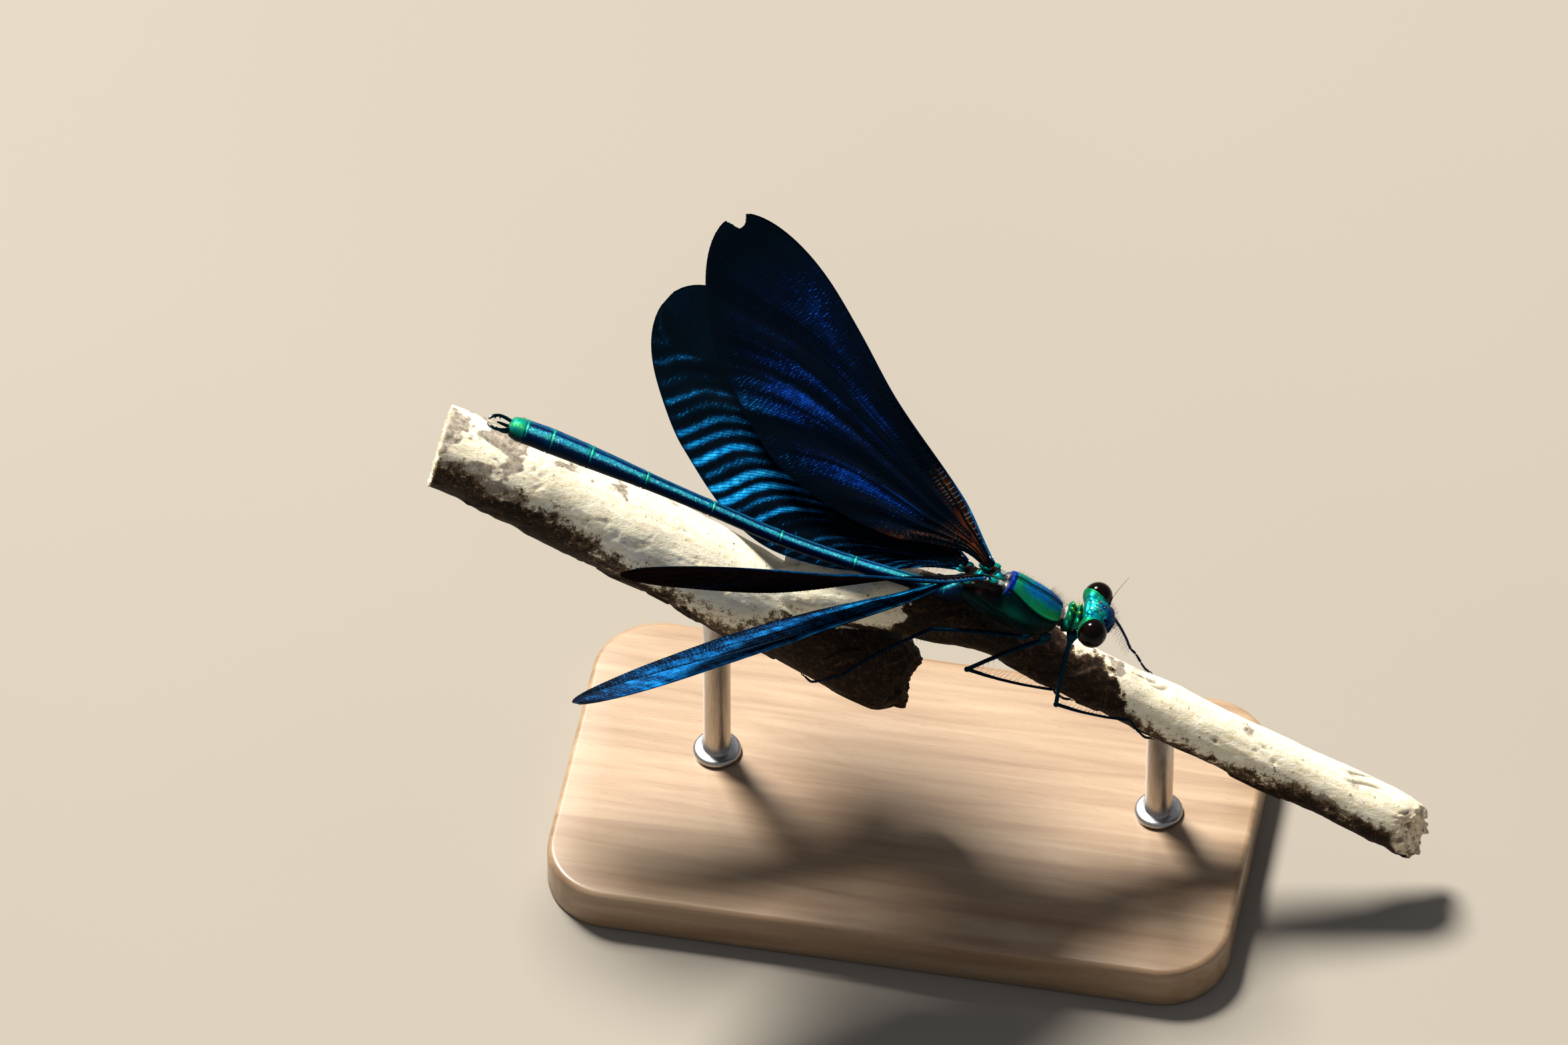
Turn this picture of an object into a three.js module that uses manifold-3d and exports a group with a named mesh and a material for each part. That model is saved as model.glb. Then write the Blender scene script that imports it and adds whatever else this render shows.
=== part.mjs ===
// A male demoiselle (a broad-winged damselfly) at life size, gripping a cut length of forked twig
// that a plain display stand holds up. Millimetres, +Z up. The insect heads along +X, nose down,
// and its left side is +Y. The model is laid out round the middle of the thorax and then moved so
// that the origin is at the middle of its footprint, on the surface that the stand stands on.

import * as THREE from 'three';
import { mergeVertices } from 'three/addons/utils/BufferGeometryUtils.js';
import Module from 'manifold-3d';

const wasm = await Module();
wasm.setup();

// ---------------------------------------------------------------- driving dimensions

const TAU = Math.PI * 2;
const CUT = 0.06; // thin cut between neighbouring pieces of the body
const PITCH = THREE.MathUtils.degToRad(16); // the body points this far down

// In the body's own frame, x runs forward along the body, y to its left and z to its back.
// Each outline is a list of [x, value] pairs that a smooth curve runs through.
const THORAX = {
  from: -5.3,
  to: 2.3,
  top: [[-5.3, 0.75], [-4.6, 1.5], [-3.4, 2.05], [-2.3, 2.3], [-1.8, 2.75], [-0.4, 2.4],
    [0.8, 2.05], [1.8, 1.55], [2.3, 1.15]],
  bottom: [[-5.3, -0.75], [-4.4, -1.15], [-3, -1.5], [-1.5, -1.8], [0, -2], [1.1, -1.85],
    [1.9, -1.25], [2.3, -0.5]],
  halfWidth: [[-5.3, 0.72], [-4.6, 1.15], [-3.4, 1.55], [-1.8, 1.8], [-0.4, 1.85],
    [0.8, 1.65], [1.8, 1.2], [2.3, 0.75]],
  roof: 0.34, // how much narrower the back is than the flanks
};
const PROTHORAX = {
  from: 2.38,
  to: 3.72,
  top: [[2.38, 1.15], [2.7, 1.68], [3.05, 1.42], [3.35, 1.66], [3.72, 1.25]],
  bottom: [[2.38, -0.6], [2.8, -1], [3.3, -0.85], [3.72, 0.1]],
  halfWidth: [[2.38, 0.7], [2.75, 1.02], [3.1, 0.92], [3.4, 0.98], [3.72, 0.6]],
  roof: 0.2,
};
const NECK = { from: 3.8, to: 4.2, radius: 0.42, height: 1.05 };

const HEAD_CENTRE = new THREE.Vector3(4.48, -0.05, 1.58);
const HEAD_YAW = THREE.MathUtils.degToRad(3); // the head is turned this far to the insect's left
const EYE = { apart: 3.5, radii: [1.04, 1, 1.12], ahead: 0.02 };
// The head capsule is these rounded lobes run together: [x, y, z] from the head's centre, [radii].
const HEAD_LOBES = [
  [[-0.05, 0, 0.1], [0.86, 1.75, 1.02]], // crown between the eyes
  [[-0.22, 1.35, 0], [0.72, 0.72, 0.94]], // left temple
  [[-0.22, -1.35, 0], [0.72, 0.72, 0.94]], // right temple
  [[0.62, 0, -0.2], [0.93, 1.02, 1.15]], // face
];
const MOUTH_LOBE = [[0.78, 0, -1.3], [0.7, 0.82, 0.98]];
const ANTENNA = { root: [0.7, 0.75, 0.62], way: [0.25, 0.6, 0.75], bend: [0.3, 0.1, -0.1], length: 2.7 };
const ANTENNA_RADII = [0.25, 0.24, 0.22];

// The abdomen's middle line, [x, z], its radius along x, and where each of its segments ends.
const ABDOMEN_LINE = [[-4.9, -0.1], [-5.8, -0.85], [-6.8, -1.12], [-10, -1.28], [-13, -1.42],
  [-18.6, -1.3], [-24, -0.62], [-29.1, 0], [-33.5, 0.48], [-36.5, 0.76], [-39.6, 0.92]];
const ABDOMEN_RADIUS = [[-39.6, 0.62], [-39.1, 0.8], [-38.4, 0.87], [-36.5, 0.9], [-34.5, 0.86],
  [-31.5, 0.76], [-29.1, 0.64], [-26, 0.57], [-20, 0.54], [-12, 0.53], [-8, 0.56], [-6.6, 0.68],
  [-5.8, 0.85], [-5, 0.98]];
const SEGMENT_ENDS = [-5.38, -6.2, -7.6, -12.94, -18.58, -23.9, -29.1, -33.46, -36.45, -38.4, -39.5];
const ABDOMEN_SIDES = 12;
const CERCUS = {
  line: [[-39.6, 0.42, 0.86], [-40.1, 0.6, 0.86], [-40.65, 0.56, 0.8], [-40.95, 0.32, 0.74]],
  radii: [0.25, 0.25, 0.25, 0.24],
};

// Wings. lead and trail are the two edges, [share of the length, mm from the axis], before the
// tip is rounded from `shoulder` on. reach is the axis from root to tip and back the way from the
// leading to the trailing edge, both in the display frame; their lengths don't matter.
const WING_THICKNESS = 0.5;
const FORE_SHAPE = {
  length: 31.6,
  lead: [[0, -0.1], [0.07, -0.3], [0.2, -0.6], [0.43, -0.8], [0.6, -1.5], [0.72, -1.9], [1, -2.4]],
  trail: [[0, 0.55], [0.06, 1.3], [0.12, 3.2], [0.17, 4.9], [0.23, 6.1], [0.3, 7.2], [0.4, 8.3],
    [0.48, 8.8], [0.58, 8.65], [0.67, 8.2], [0.72, 7.95], [0.87, 7], [1, 6.3]],
  tip: 1.2,
  shoulder: 0.72,
};
const HIND_SHAPE = {
  length: 30.3,
  lead: [[0, -0.25], [0.2, -0.9], [0.5, -2], [0.72, -2.9], [1, -4.2]],
  trail: [[0, 0.55], [0.06, 1.3], [0.12, 3], [0.2, 5.6], [0.3, 7.75], [0.4, 9], [0.5, 9.2],
    [0.6, 8.7], [0.72, 7.7], [0.85, 6.6], [1, 6]],
  tip: 0.5,
  shoulder: 0.72,
};
const WINGS = {
  wing_fore_left: {
    shape: FORE_SHAPE,
    root: [-3.3, 1.25, 2.45],
    reach: [-21.95, 18.45, 12.9],
    back: [-0.72, -0.57, -0.385],
    twist: 13,
    notch: true,
  },
  wing_fore_right: {
    shape: FORE_SHAPE,
    root: [-3.3, -1.25, 2.45],
    reach: [-22.21, -16.21, 15.16],
    back: [-0.611, 0.347, -0.699],
    twist: 24,
  },
  wing_hind_left: {
    shape: HIND_SHAPE,
    root: [-5.1, 1.05, 1.6],
    reach: [-25.1, 16.4, 6],
    back: [-0.551, -0.668, -0.501],
    twist: 0,
  },
  wing_hind_right: {
    shape: HIND_SHAPE,
    root: [-5.1, -1.05, 1.6],
    reach: [-25.1, -17.4, 1],
    back: [-0.354, 0.663, -0.66],
    twist: 0,
  },
};
const WING_CAMBER = 0.35;
const NOTCH = { across: 0.8, depth: 1.2 }; // torn out of the tip of the left fore wing

// The wood. Each line is a list of [x, y, z, radius] in the display frame.
const STEM = [[-43.1, 1.5, 7, 3.05], [-36.3, 1.4, 4, 3.25], [-26.6, 1.25, -0.65, 3.4],
  [-21.8, 1.1, -3.2, 3.4], [-16.9, 0.95, -5.9, 3.3], [-12.5, 0.8, -8.45, 3.15], [-8.9, 0.6, -10.4, 2.8]];
const TWIG = [[-20.5, 1, -3.4, 1.8], [-17.5, 1.15, -2.9, 2.15], [-14, 1.3, -2.45, 2.4],
  [-10.2, 1.35, -2.4, 2.5], [-7.2, 1.35, -2.95, 2.4], [-4.6, 1.3, -3.5, 2.15], [-2.2, 1.25, -4.25, 2.05],
  [6.3, 1.2, -8.85, 2.06], [18, 1.15, -14.5, 2.04], [29.2, 1.1, -19.95, 2.12]];
const WOOD_SIDES = 12;
const STUB_ROUGHNESS = 0.35;
const BREAK_SLANT = 1; // how much further the twig's broken end reaches below than on top

// Legs. hip is in the body's frame, knee and ankle in the display frame. The claws hold the wood
// at x along its line, `round` degrees from its top towards the insect's own side.
const LEG_RADII = { coxa: 0.42, femur: [0.3, 0.27], tibia: 0.25, tarsus: 0.25 };
const LEGS = {
  fore_right: {
    hip: [3.55, -0.75, -0.95],
    knee: [2.49, -2.8, -6.8],
    ankle: [7.6, -1.2, -9.25],
    claws: ['twig', 9.7, 140],
  },
  mid_right: {
    hip: [1.75, -0.95, -1.75],
    knee: [-3.97, -3.1, -4],
    ankle: [2.05, -1.45, -6.8],
    claws: ['twig', 3.9, 142],
  },
  hind_right: {
    hip: [0.4, -1.15, -1.85],
    knee: [-6.77, -1.95, -1.5],
    ankle: [-13.2, -2.8, -6.9],
    claws: ['stem', -14.8, 140],
  },
  fore_left: {
    hip: [3.55, 0.75, -0.95],
    knee: [5.5, 2.5, -2.3],
    ankle: [6.85, 3.25, -6.6],
    claws: ['twig', 7.75, 60],
  },
  mid_left: {
    hip: [1.75, 0.95, -1.75],
    knee: [-2.3, 4.7, -3.2],
    ankle: [1.6, 3.9, -5.9],
    claws: ['twig', 3.6, 84],
  },
  hind_left: {
    hip: [0.4, 1.15, -1.85],
    knee: [-6, 4.5, -1.6],
    ankle: [-11, 4.35, -2.3],
    claws: ['twig', -13, 84],
  },
};
const HOLD = 0.28; // middle of a foot above the wood it holds

// The stand.
const BASE = { length: 50, depth: 27, thickness: 3.6, corner: 5, middle: -8.5, side: -0.5, bevel: 0.5 };
const FLOOR = -25.2; // the surface under the stand, below the middle of the thorax
const ROD = { radius: 1, sides: 20, sunk: 1.8, fit: 0.1 };
const RODS = { stand_rod_rear: { x: -23, wood: 'stem' }, stand_rod_front: { x: 9.5, wood: 'twig' } };

const insect = new THREE.Group();
insect.rotation.y = PITCH;
insect.updateMatrixWorld();

// ---------------------------------------------------------------- curves and solids

function vec([x, y, z]) {
  return new THREE.Vector3(x, y, z);
}

// A smooth curve through [x, value] pairs in rising order of x.
function profile(pairs) {
  const slope = pairs.map((_, i) => {
    const before = pairs[Math.max(i - 1, 0)];
    const after = pairs[Math.min(i + 1, pairs.length - 1)];
    return (after[1] - before[1]) / (after[0] - before[0]);
  });
  return (x) => {
    let i = 0;
    while (i < pairs.length - 2 && x > pairs[i + 1][0]) {
      i += 1;
    }
    const [x0, v0] = pairs[i];
    const [x1, v1] = pairs[i + 1];
    const span = x1 - x0;
    const t = THREE.MathUtils.clamp((x - x0) / span, 0, 1);
    const s = 1 - t;
    return v0 * (1 + 2 * t) * s * s + slope[i] * span * t * s * s
      + v1 * t * t * (3 - 2 * t) - slope[i + 1] * span * t * t * s;
  };
}

function steps(from, to, count) {
  return Array.from({ length: count + 1 }, (_, i) => from + (to - from) * i / count);
}

// A closed body from rings of the same number of points, with a fan over each end.
function loft(rings) {
  const sides = rings[0].length;
  const points = rings.flat();
  const faces = [];
  for (let i = 0; i < rings.length - 1; i += 1) {
    for (let j = 0; j < sides; j += 1) {
      const a = i * sides + j;
      const b = i * sides + (j + 1) % sides;
      faces.push(a, b, a + sides, b, b + sides, a + sides);
    }
  }
  for (const ring of [0, rings.length - 1]) {
    const middle = points.length;
    const centre = rings[ring].reduce((sum, p) => sum.add(p), new THREE.Vector3());
    points.push(centre.divideScalar(sides));
    for (let j = 0; j < sides; j += 1) {
      const a = ring * sides + j;
      const b = ring * sides + (j + 1) % sides;
      faces.push(...(ring === 0 ? [b, a, middle] : [a, b, middle]));
    }
  }
  return outward(points, faces);
}

// An indexed geometry whose faces point out.
function outward(points, faces) {
  let volume = 0;
  for (let i = 0; i < faces.length; i += 3) {
    const [a, b, c] = [0, 1, 2].map((k) => points[faces[i + k]]);
    volume += a.dot(b.clone().cross(c));
  }
  if (volume < 0) {
    faces.reverse();
  }
  const geometry = new THREE.BufferGeometry().setFromPoints(points);
  geometry.setIndex(faces);
  return geometry;
}

function toManifold(geometry) {
  const bare = geometry.clone();
  bare.deleteAttribute('normal');
  bare.deleteAttribute('uv');
  const merged = mergeVertices(bare, 1e-4);
  return new wasm.Manifold(new wasm.Mesh({
    numProp: 3,
    vertProperties: new Float32Array(merged.attributes.position.array),
    triVerts: new Uint32Array(merged.index.array),
  }));
}

function toGeometry(solid) {
  const { vertProperties, triVerts } = solid.getMesh();
  const geometry = new THREE.BufferGeometry();
  geometry.setAttribute('position', new THREE.BufferAttribute(vertProperties, 3));
  geometry.setIndex(new THREE.BufferAttribute(triVerts, 1));
  return geometry;
}

function join(...geometries) {
  return toGeometry(geometries.map(toManifold).reduce((all, next) => all.add(next)));
}

function cutAway(geometry, ...cutters) {
  const whole = toManifold(geometry);
  return toGeometry(cutters.map(toManifold).reduce((left, cutter) => left.subtract(cutter), whole));
}

function ellipsoid(centre, radii, grow, wide, high) {
  const ball = new THREE.SphereGeometry(1, wide, high);
  ball.rotateX(Math.PI / 2);
  ball.scale(...radii.map((r) => r + grow));
  ball.translate(...centre);
  return ball;
}

// A tube through points, with its own radius at each, and ends that are a little rounded.
function tube(points, radii, sides = 8, around = new THREE.Vector3(0, 0, 1)) {
  const line = points.map((p) => p.clone());
  const size = [...radii];
  const round = 0.35;
  for (const atStart of [true, false]) {
    const last = line.length - 1;
    const [end, next, at] = atStart ? [0, 1, 1] : [last, last - 1, last];
    const inward = line[next].clone().sub(line[end]).normalize();
    line.splice(at, 0, line[end].clone().addScaledVector(inward, size[end] * round));
    size.splice(at, 0, size[end]);
    size[atStart ? 0 : last + 1] *= 1 - round;
  }
  let side = around.clone();
  const rings = line.map((p, i) => {
    const next = line[Math.min(i + 1, line.length - 1)];
    const ahead = next.clone().sub(line[Math.max(i - 1, 0)]).normalize();
    side = side.clone().addScaledVector(ahead, -side.dot(ahead)).normalize();
    const other = ahead.clone().cross(side);
    return Array.from({ length: sides }, (_, j) => {
      const angle = TAU * j / sides;
      return p.clone()
        .addScaledVector(side, Math.cos(angle) * size[i])
        .addScaledVector(other, Math.sin(angle) * size[i]);
    });
  });
  return loft(rings);
}

// ---------------------------------------------------------------- the body

// A shell of the trunk: rounded sections across the body, narrower towards the back.
function trunk({ from, to, top, bottom, halfWidth, roof }, grow = 0, count = 13, sides = 20) {
  const [topAt, bottomAt, widthAt] = [top, bottom, halfWidth].map(profile);
  const rings = steps(from - grow, to + grow, count).map((x) => {
    const inside = THREE.MathUtils.clamp(x, from, to);
    const high = (topAt(inside) - bottomAt(inside)) / 2 + grow;
    const middle = (topAt(inside) + bottomAt(inside)) / 2;
    const wide = widthAt(inside) + grow;
    return Array.from({ length: sides }, (_, j) => {
      const angle = TAU * j / sides;
      const up = Math.sin(angle);
      const narrow = 1 - roof * Math.max(up, 0) ** 2;
      return new THREE.Vector3(x, wide * Math.cos(angle) * narrow, middle + high * up);
    });
  });
  return loft(rings);
}

function headLobe([offset, radii], grow = 0, wide = 13, high = 8) {
  const lobe = ellipsoid(offset, radii, grow, wide, high);
  lobe.rotateZ(HEAD_YAW);
  return lobe.translate(...HEAD_CENTRE);
}

function eye(side, grow = 0) {
  return headLobe([[EYE.ahead, side * EYE.apart / 2, 0], EYE.radii], grow, 15, 10);
}

function headCapsule(grow = 0) {
  return join(...HEAD_LOBES.map((lobe) => headLobe(lobe, grow)));
}

function head() {
  return cutAway(headCapsule(), eye(1, CUT), eye(-1, CUT));
}

function mouth() {
  return cutAway(headLobe(MOUTH_LOBE), headCapsule(CUT));
}

function neck() {
  const { from, to, radius, height } = NECK;
  const ends = [new THREE.Vector3(from - 0.4, 0, height - 0.1), new THREE.Vector3(to, 0, height + 0.1)];
  const rough = tube(ends, [radius, radius], 12);
  return cutAway(rough, headCapsule(CUT), trunk(PROTHORAX, CUT, 8, 16));
}

function antenna(side) {
  const [root, way, bend] = [ANTENNA.root, ANTENNA.way, ANTENNA.bend].map(([x, y, z]) => (
    new THREE.Vector3(x, side * y, z).applyAxisAngle(new THREE.Vector3(0, 0, 1), HEAD_YAW)
  ));
  root.add(HEAD_CENTRE);
  way.normalize();
  const points = [0, 0.5, 1].map((t) => (
    root.clone().addScaledVector(way, ANTENNA.length * t).addScaledVector(bend, t * t)
  ));
  return cutAway(tube(points, ANTENNA_RADII, 6), headCapsule(CUT), eye(side, CUT));
}

const abdomenLine = profile([...ABDOMEN_LINE].reverse());
const abdomenRadius = profile(ABDOMEN_RADIUS);

function abdomenSegment(number) {
  const [front, back] = [SEGMENT_ENDS[number - 1], SEGMENT_ENDS[number]];
  const swell = 0.03; // each joint stands a little proud
  const lip = 0.18;
  const places = [front - CUT / 2, front - lip, (front + back) / 2, back + lip, back + CUT / 2];
  const rings = places.map((x, i) => {
    const radius = abdomenRadius(x) + (i === 0 || i === places.length - 1 ? swell : 0);
    return Array.from({ length: ABDOMEN_SIDES }, (_, j) => {
      const angle = TAU * j / ABDOMEN_SIDES;
      return new THREE.Vector3(x, radius * Math.cos(angle), abdomenLine(x) + radius * Math.sin(angle));
    });
  });
  return loft(rings);
}

function cercus(side) {
  return tube(CERCUS.line.map(([x, y, z]) => new THREE.Vector3(x, side * y, z)), CERCUS.radii);
}

// ---------------------------------------------------------------- wings

function wingEdges({ lead, trail, tip, shoulder }) {
  const [leadAt, trailAt] = [lead, trail].map(profile);
  return (t) => {
    const past = Math.max(t - shoulder, 0) / (1 - shoulder);
    const open = Math.sqrt(Math.max(1 - past * past, 0));
    const narrow = past > 0 ? open : 1;
    return [leadAt(t), trailAt(t)].map((v) => (past > 0 ? tip + (v - tip) * narrow : v));
  };
}

function wingFrame({ shape, reach, back, twist }) {
  const along = vec(reach).normalize();
  const across = vec(back);
  across.addScaledVector(along, -across.dot(along)).normalize();
  const root = insect.worldToLocal(along.clone());
  const chord = insect.worldToLocal(across.clone());
  const outer = root.clone().cross(chord).normalize();
  const upper = outer.z > 0 ? outer : outer.negate();
  // The root is turned so that the trailing edge there lies higher than further out.
  const chordAt = (t) => {
    const turn = THREE.MathUtils.degToRad(twist) * (1 - Math.min(t / 0.45, 1)) ** 2;
    return chord.clone().multiplyScalar(Math.cos(turn)).addScaledVector(upper, Math.sin(turn));
  };
  return { along: root, chordAt, upper, length: shape.length };
}

function wing(spec) {
  const edges = wingEdges(spec.shape);
  const { along, chordAt, upper, length } = wingFrame(spec);
  const [spans, chords] = [16, 6];
  const places = steps(0, 1, spans).map((s) => Math.sin(s * Math.PI / 2) ** 1.15 * 0.998);
  const sheet = (face) => places.map((t) => {
    const [front, rear] = edges(t);
    return steps(0, 1, chords).map((k) => {
      const bulge = WING_CAMBER * 4 * k * (1 - k) * Math.sin(Math.PI * Math.min(t + 0.1, 1));
      const v = THREE.MathUtils.lerp(front, rear, k);
      return vec(spec.root)
        .addScaledVector(along, length * t)
        .addScaledVector(chordAt(t), v)
        .addScaledVector(upper, bulge + face * WING_THICKNESS / 2);
    });
  });
  const [above, below] = [sheet(1), sheet(-1)];
  const rings = above.map((row, i) => [...row, ...below[i].reverse()]);
  let solid = loft(rings);
  if (spec.notch) {
    const at = vec(spec.root).addScaledVector(along, length).addScaledVector(chordAt(1), NOTCH.across);
    // How far out along the wing and across it each corner of the tear lies.
    const corners = [[1, -1.9], [1, 1.1], [-0.2, 0.6], [-NOTCH.depth, 0.1], [-0.5, -0.75]];
    const ring = (rise) => corners.map(([u, v]) => at.clone()
      .addScaledVector(along, u)
      .addScaledVector(chordAt(1), v)
      .addScaledVector(upper, rise));
    solid = cutAway(solid, loft([ring(-1.5), ring(1.5)]));
  }
  return cutAway(solid, trunk(THORAX, CUT));
}

// ---------------------------------------------------------------- wood

// A woody line: position, radius and frame at any x along it.
function woody(points) {
  const [yAt, zAt, radiusAt] = [1, 2, 3].map((k) => profile(points.map((p) => [p[0], p[k]])));
  const at = (x) => new THREE.Vector3(x, yAt(x), zAt(x));
  return {
    from: points[0][0],
    to: points[points.length - 1][0],
    at,
    radius: radiusAt,
    ahead: (x) => at(x + 0.2).sub(at(x - 0.2)).normalize(),
  };
}

const wood = { stem: woody(STEM), twig: woody(TWIG) };

// A point round the wood at x: `round` degrees from the top, positive towards +Y.
function roundWood(name, x, round, height) {
  const line = wood[name];
  const ahead = line.ahead(x);
  const side = new THREE.Vector3(0, 1, 0).addScaledVector(ahead, -ahead.y).normalize();
  const top = ahead.clone().cross(side);
  const angle = THREE.MathUtils.degToRad(round);
  return line.at(x)
    .addScaledVector(side, Math.sin(angle) * height)
    .addScaledVector(top, Math.cos(angle) * height);
}

function woodSolid(name, count, endShape, grow = 0) {
  const line = wood[name];
  const rings = steps(line.from, line.to, count).map((x, i) => (
    Array.from({ length: WOOD_SIDES }, (_, j) => {
      const round = 360 * j / WOOD_SIDES;
      const uneven = 1 + 0.025 * Math.sin(TAU * 3 * j / WOOD_SIDES + x * 0.5) + 0.015 * Math.sin(x * 0.8);
      const p = roundWood(name, x, round, line.radius(x) * uneven + grow);
      return i === count ? p.addScaledVector(line.ahead(x), endShape(j)) : p;
    })
  ));
  return loft(rings);
}

function stubEnd(j) {
  return STUB_ROUGHNESS * Math.sin(j * 2.4);
}

function brokenEnd(j) {
  return -BREAK_SLANT * (0.5 + 0.5 * Math.cos(TAU * j / WOOD_SIDES)) + 0.2 * Math.sin(j * 2.1);
}

function wholeWood(grow = 0) {
  return join(woodSolid('stem', 14, stubEnd, grow), woodSolid('twig', 18, brokenEnd, grow));
}

// ---------------------------------------------------------------- legs

// The wood with a little room round it, in the insect's own frame, for the feet to stop at.
const feltWood = wholeWood(CUT / 2).applyMatrix4(insect.matrixWorld.clone().invert());

function legPieces(name, { hip, knee, ankle, claws }) {
  const side = Math.sign(hip[1]);
  const [line, x, round] = claws;
  const hold = (at, turn, height = HOLD) => (
    insect.worldToLocal(roundWood(line, at, side * turn, wood[line].radius(at) + height))
  );
  const hipPoint = vec(hip);
  const kneePoint = insect.worldToLocal(vec(knee));
  const anklePoint = insect.worldToLocal(vec(ankle));
  const halfway = (a, b) => a.clone().lerp(b, 0.5);
  const short = (a, b, by) => b.clone().addScaledVector(b.clone().sub(a).normalize(), -by);
  const coxa = hipPoint.clone().add(new THREE.Vector3(0, -side * 0.35, 0.55));
  const jointGap = 0.3;
  const thigh = [coxa, hipPoint, halfway(hipPoint, kneePoint), kneePoint];
  const shin = [short(anklePoint, kneePoint, jointGap), halfway(kneePoint, anklePoint), anklePoint];
  const toe = hold(x, round);
  const instep = hold(x - 0.35 * Math.sign(x - ankle[0]), round - 14, HOLD + 0.06);
  const foot = [short(toe, anklePoint, jointGap), instep, toe];
  const femur = (grow) => {
    const [top, low] = LEG_RADII.femur;
    return tube(thigh, [LEG_RADII.coxa, LEG_RADII.coxa, top, low].map((r) => r + grow));
  };
  const tibia = (grow) => tube(shin, shin.map(() => LEG_RADII.tibia + grow));
  const tarsus = tube(foot, foot.map(() => LEG_RADII.tarsus));
  return {
    [`femur_${name}`]: cutAway(femur(0), trunk(THORAX, CUT), trunk(PROTHORAX, CUT, 8, 16)),
    [`tibia_${name}`]: cutAway(tibia(0), femur(CUT)),
    [`tarsus_${name}`]: cutAway(tarsus, tibia(CUT), feltWood),
  };
}

// ---------------------------------------------------------------- stand

function rod(name, grow = 0, sink = 0) {
  const { x, wood: line } = RODS[name];
  const low = FLOOR + BASE.thickness - ROD.sunk - sink;
  const under = roundWood(line, x, 180, wood[line].radius(x));
  const high = under.z + ROD.sunk + sink;
  const solid = new THREE.CylinderGeometry(ROD.radius + grow, ROD.radius + grow, high - low, ROD.sides);
  solid.rotateX(Math.PI / 2);
  solid.translate(x, wood[line].at(x).y, (high + low) / 2);
  return solid;
}

function base() {
  const { length, depth, thickness, corner, middle, side, bevel } = BASE;
  const [w, d] = [length / 2 - bevel, depth / 2 - bevel];
  const shape = new THREE.Shape();
  shape.moveTo(-w + corner, -d);
  shape.lineTo(w - corner, -d);
  shape.absarc(w - corner, -d + corner, corner, -Math.PI / 2, 0);
  shape.lineTo(w, d - corner);
  shape.absarc(w - corner, d - corner, corner, 0, Math.PI / 2);
  shape.lineTo(-w + corner, d);
  shape.absarc(-w + corner, d - corner, corner, Math.PI / 2, Math.PI);
  shape.lineTo(-w, -d + corner);
  shape.absarc(-w + corner, -d + corner, corner, Math.PI, Math.PI * 1.5);
  const plate = new THREE.ExtrudeGeometry(shape, {
    depth: thickness - 2 * bevel,
    bevelSize: bevel,
    bevelThickness: bevel,
    bevelSegments: 1,
    curveSegments: 5,
  });
  plate.translate(middle, side, FLOOR + bevel);
  return cutAway(plate, ...Object.keys(RODS).map((name) => rod(name, ROD.fit, ROD.fit)));
}

function perch() {
  return cutAway(wholeWood(), ...Object.keys(RODS).map((name) => rod(name, ROD.fit, ROD.fit)));
}

// ---------------------------------------------------------------- the model

const FINISH = {
  metallic: { color: 0x0b5a78, roughness: 0.3, metalness: 0.8 },
  green: { color: 0x1c8f6a, roughness: 0.3, metalness: 0.8 },
  eye: { color: 0x0a0706, roughness: 0.08, metalness: 0 },
  dark: { color: 0x0a0f18, roughness: 0.4, metalness: 0.2 },
  wing: { color: 0x07183a, roughness: 0.35, metalness: 0.4 },
  wood: { color: 0xcdb98c, roughness: 0.8, metalness: 0 },
  base: { color: 0x8f6a42, roughness: 0.5, metalness: 0 },
  steel: { color: 0xb8bcc0, roughness: 0.35, metalness: 1 },
};

function addMesh(group, name, geometry, finish) {
  const mesh = new THREE.Mesh(geometry, new THREE.MeshStandardMaterial(FINISH[finish]));
  mesh.name = name;
  group.add(mesh);
}

addMesh(insect, 'head', head(), 'green');
addMesh(insect, 'mouth', mouth(), 'dark');
addMesh(insect, 'neck', neck(), 'dark');
addMesh(insect, 'prothorax', cutAway(trunk(PROTHORAX, 0, 8, 16), headCapsule(CUT)), 'green');
addMesh(insect, 'synthorax', trunk(THORAX), 'green');
for (let number = 1; number < SEGMENT_ENDS.length; number += 1) {
  addMesh(insect, `abdomen_s${number}`, abdomenSegment(number), number > 9 ? 'green' : 'metallic');
}
for (const [side, sign] of [['left', 1], ['right', -1]]) {
  addMesh(insect, `eye_${side}`, eye(sign), 'eye');
  addMesh(insect, `antenna_${side}`, antenna(sign), 'dark');
  addMesh(insect, `cercus_${side}`, cercus(sign), 'dark');
}
for (const [name, spec] of Object.entries(WINGS)) {
  addMesh(insect, name, wing(spec), 'wing');
}
for (const [name, spec] of Object.entries(LEGS)) {
  for (const [piece, geometry] of Object.entries(legPieces(name, spec))) {
    addMesh(insect, piece, geometry, 'dark');
  }
}

const model = new THREE.Group();
model.add(insect);
addMesh(model, 'perch', perch(), 'wood');
addMesh(model, 'stand_base', base(), 'base');
for (const name of Object.keys(RODS)) {
  addMesh(model, name, rod(name), 'steel');
}

const bounds = new THREE.Box3().setFromObject(model, true);
const middle = bounds.getCenter(new THREE.Vector3());
model.position.set(-middle.x, -middle.y, -bounds.min.z);

export default model;
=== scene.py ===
"""Looks of a male demoiselle damselfly on a cut length of forked twig, held by a display stand.

Shapes are worked out in millimetres about the middle of the thorax and turned into metres at the
end. The insect's own frame has x forward along the body, y to its left and z to its back; the
display frame is that frame with the nose tipped down by PITCH.
"""
import math

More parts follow.
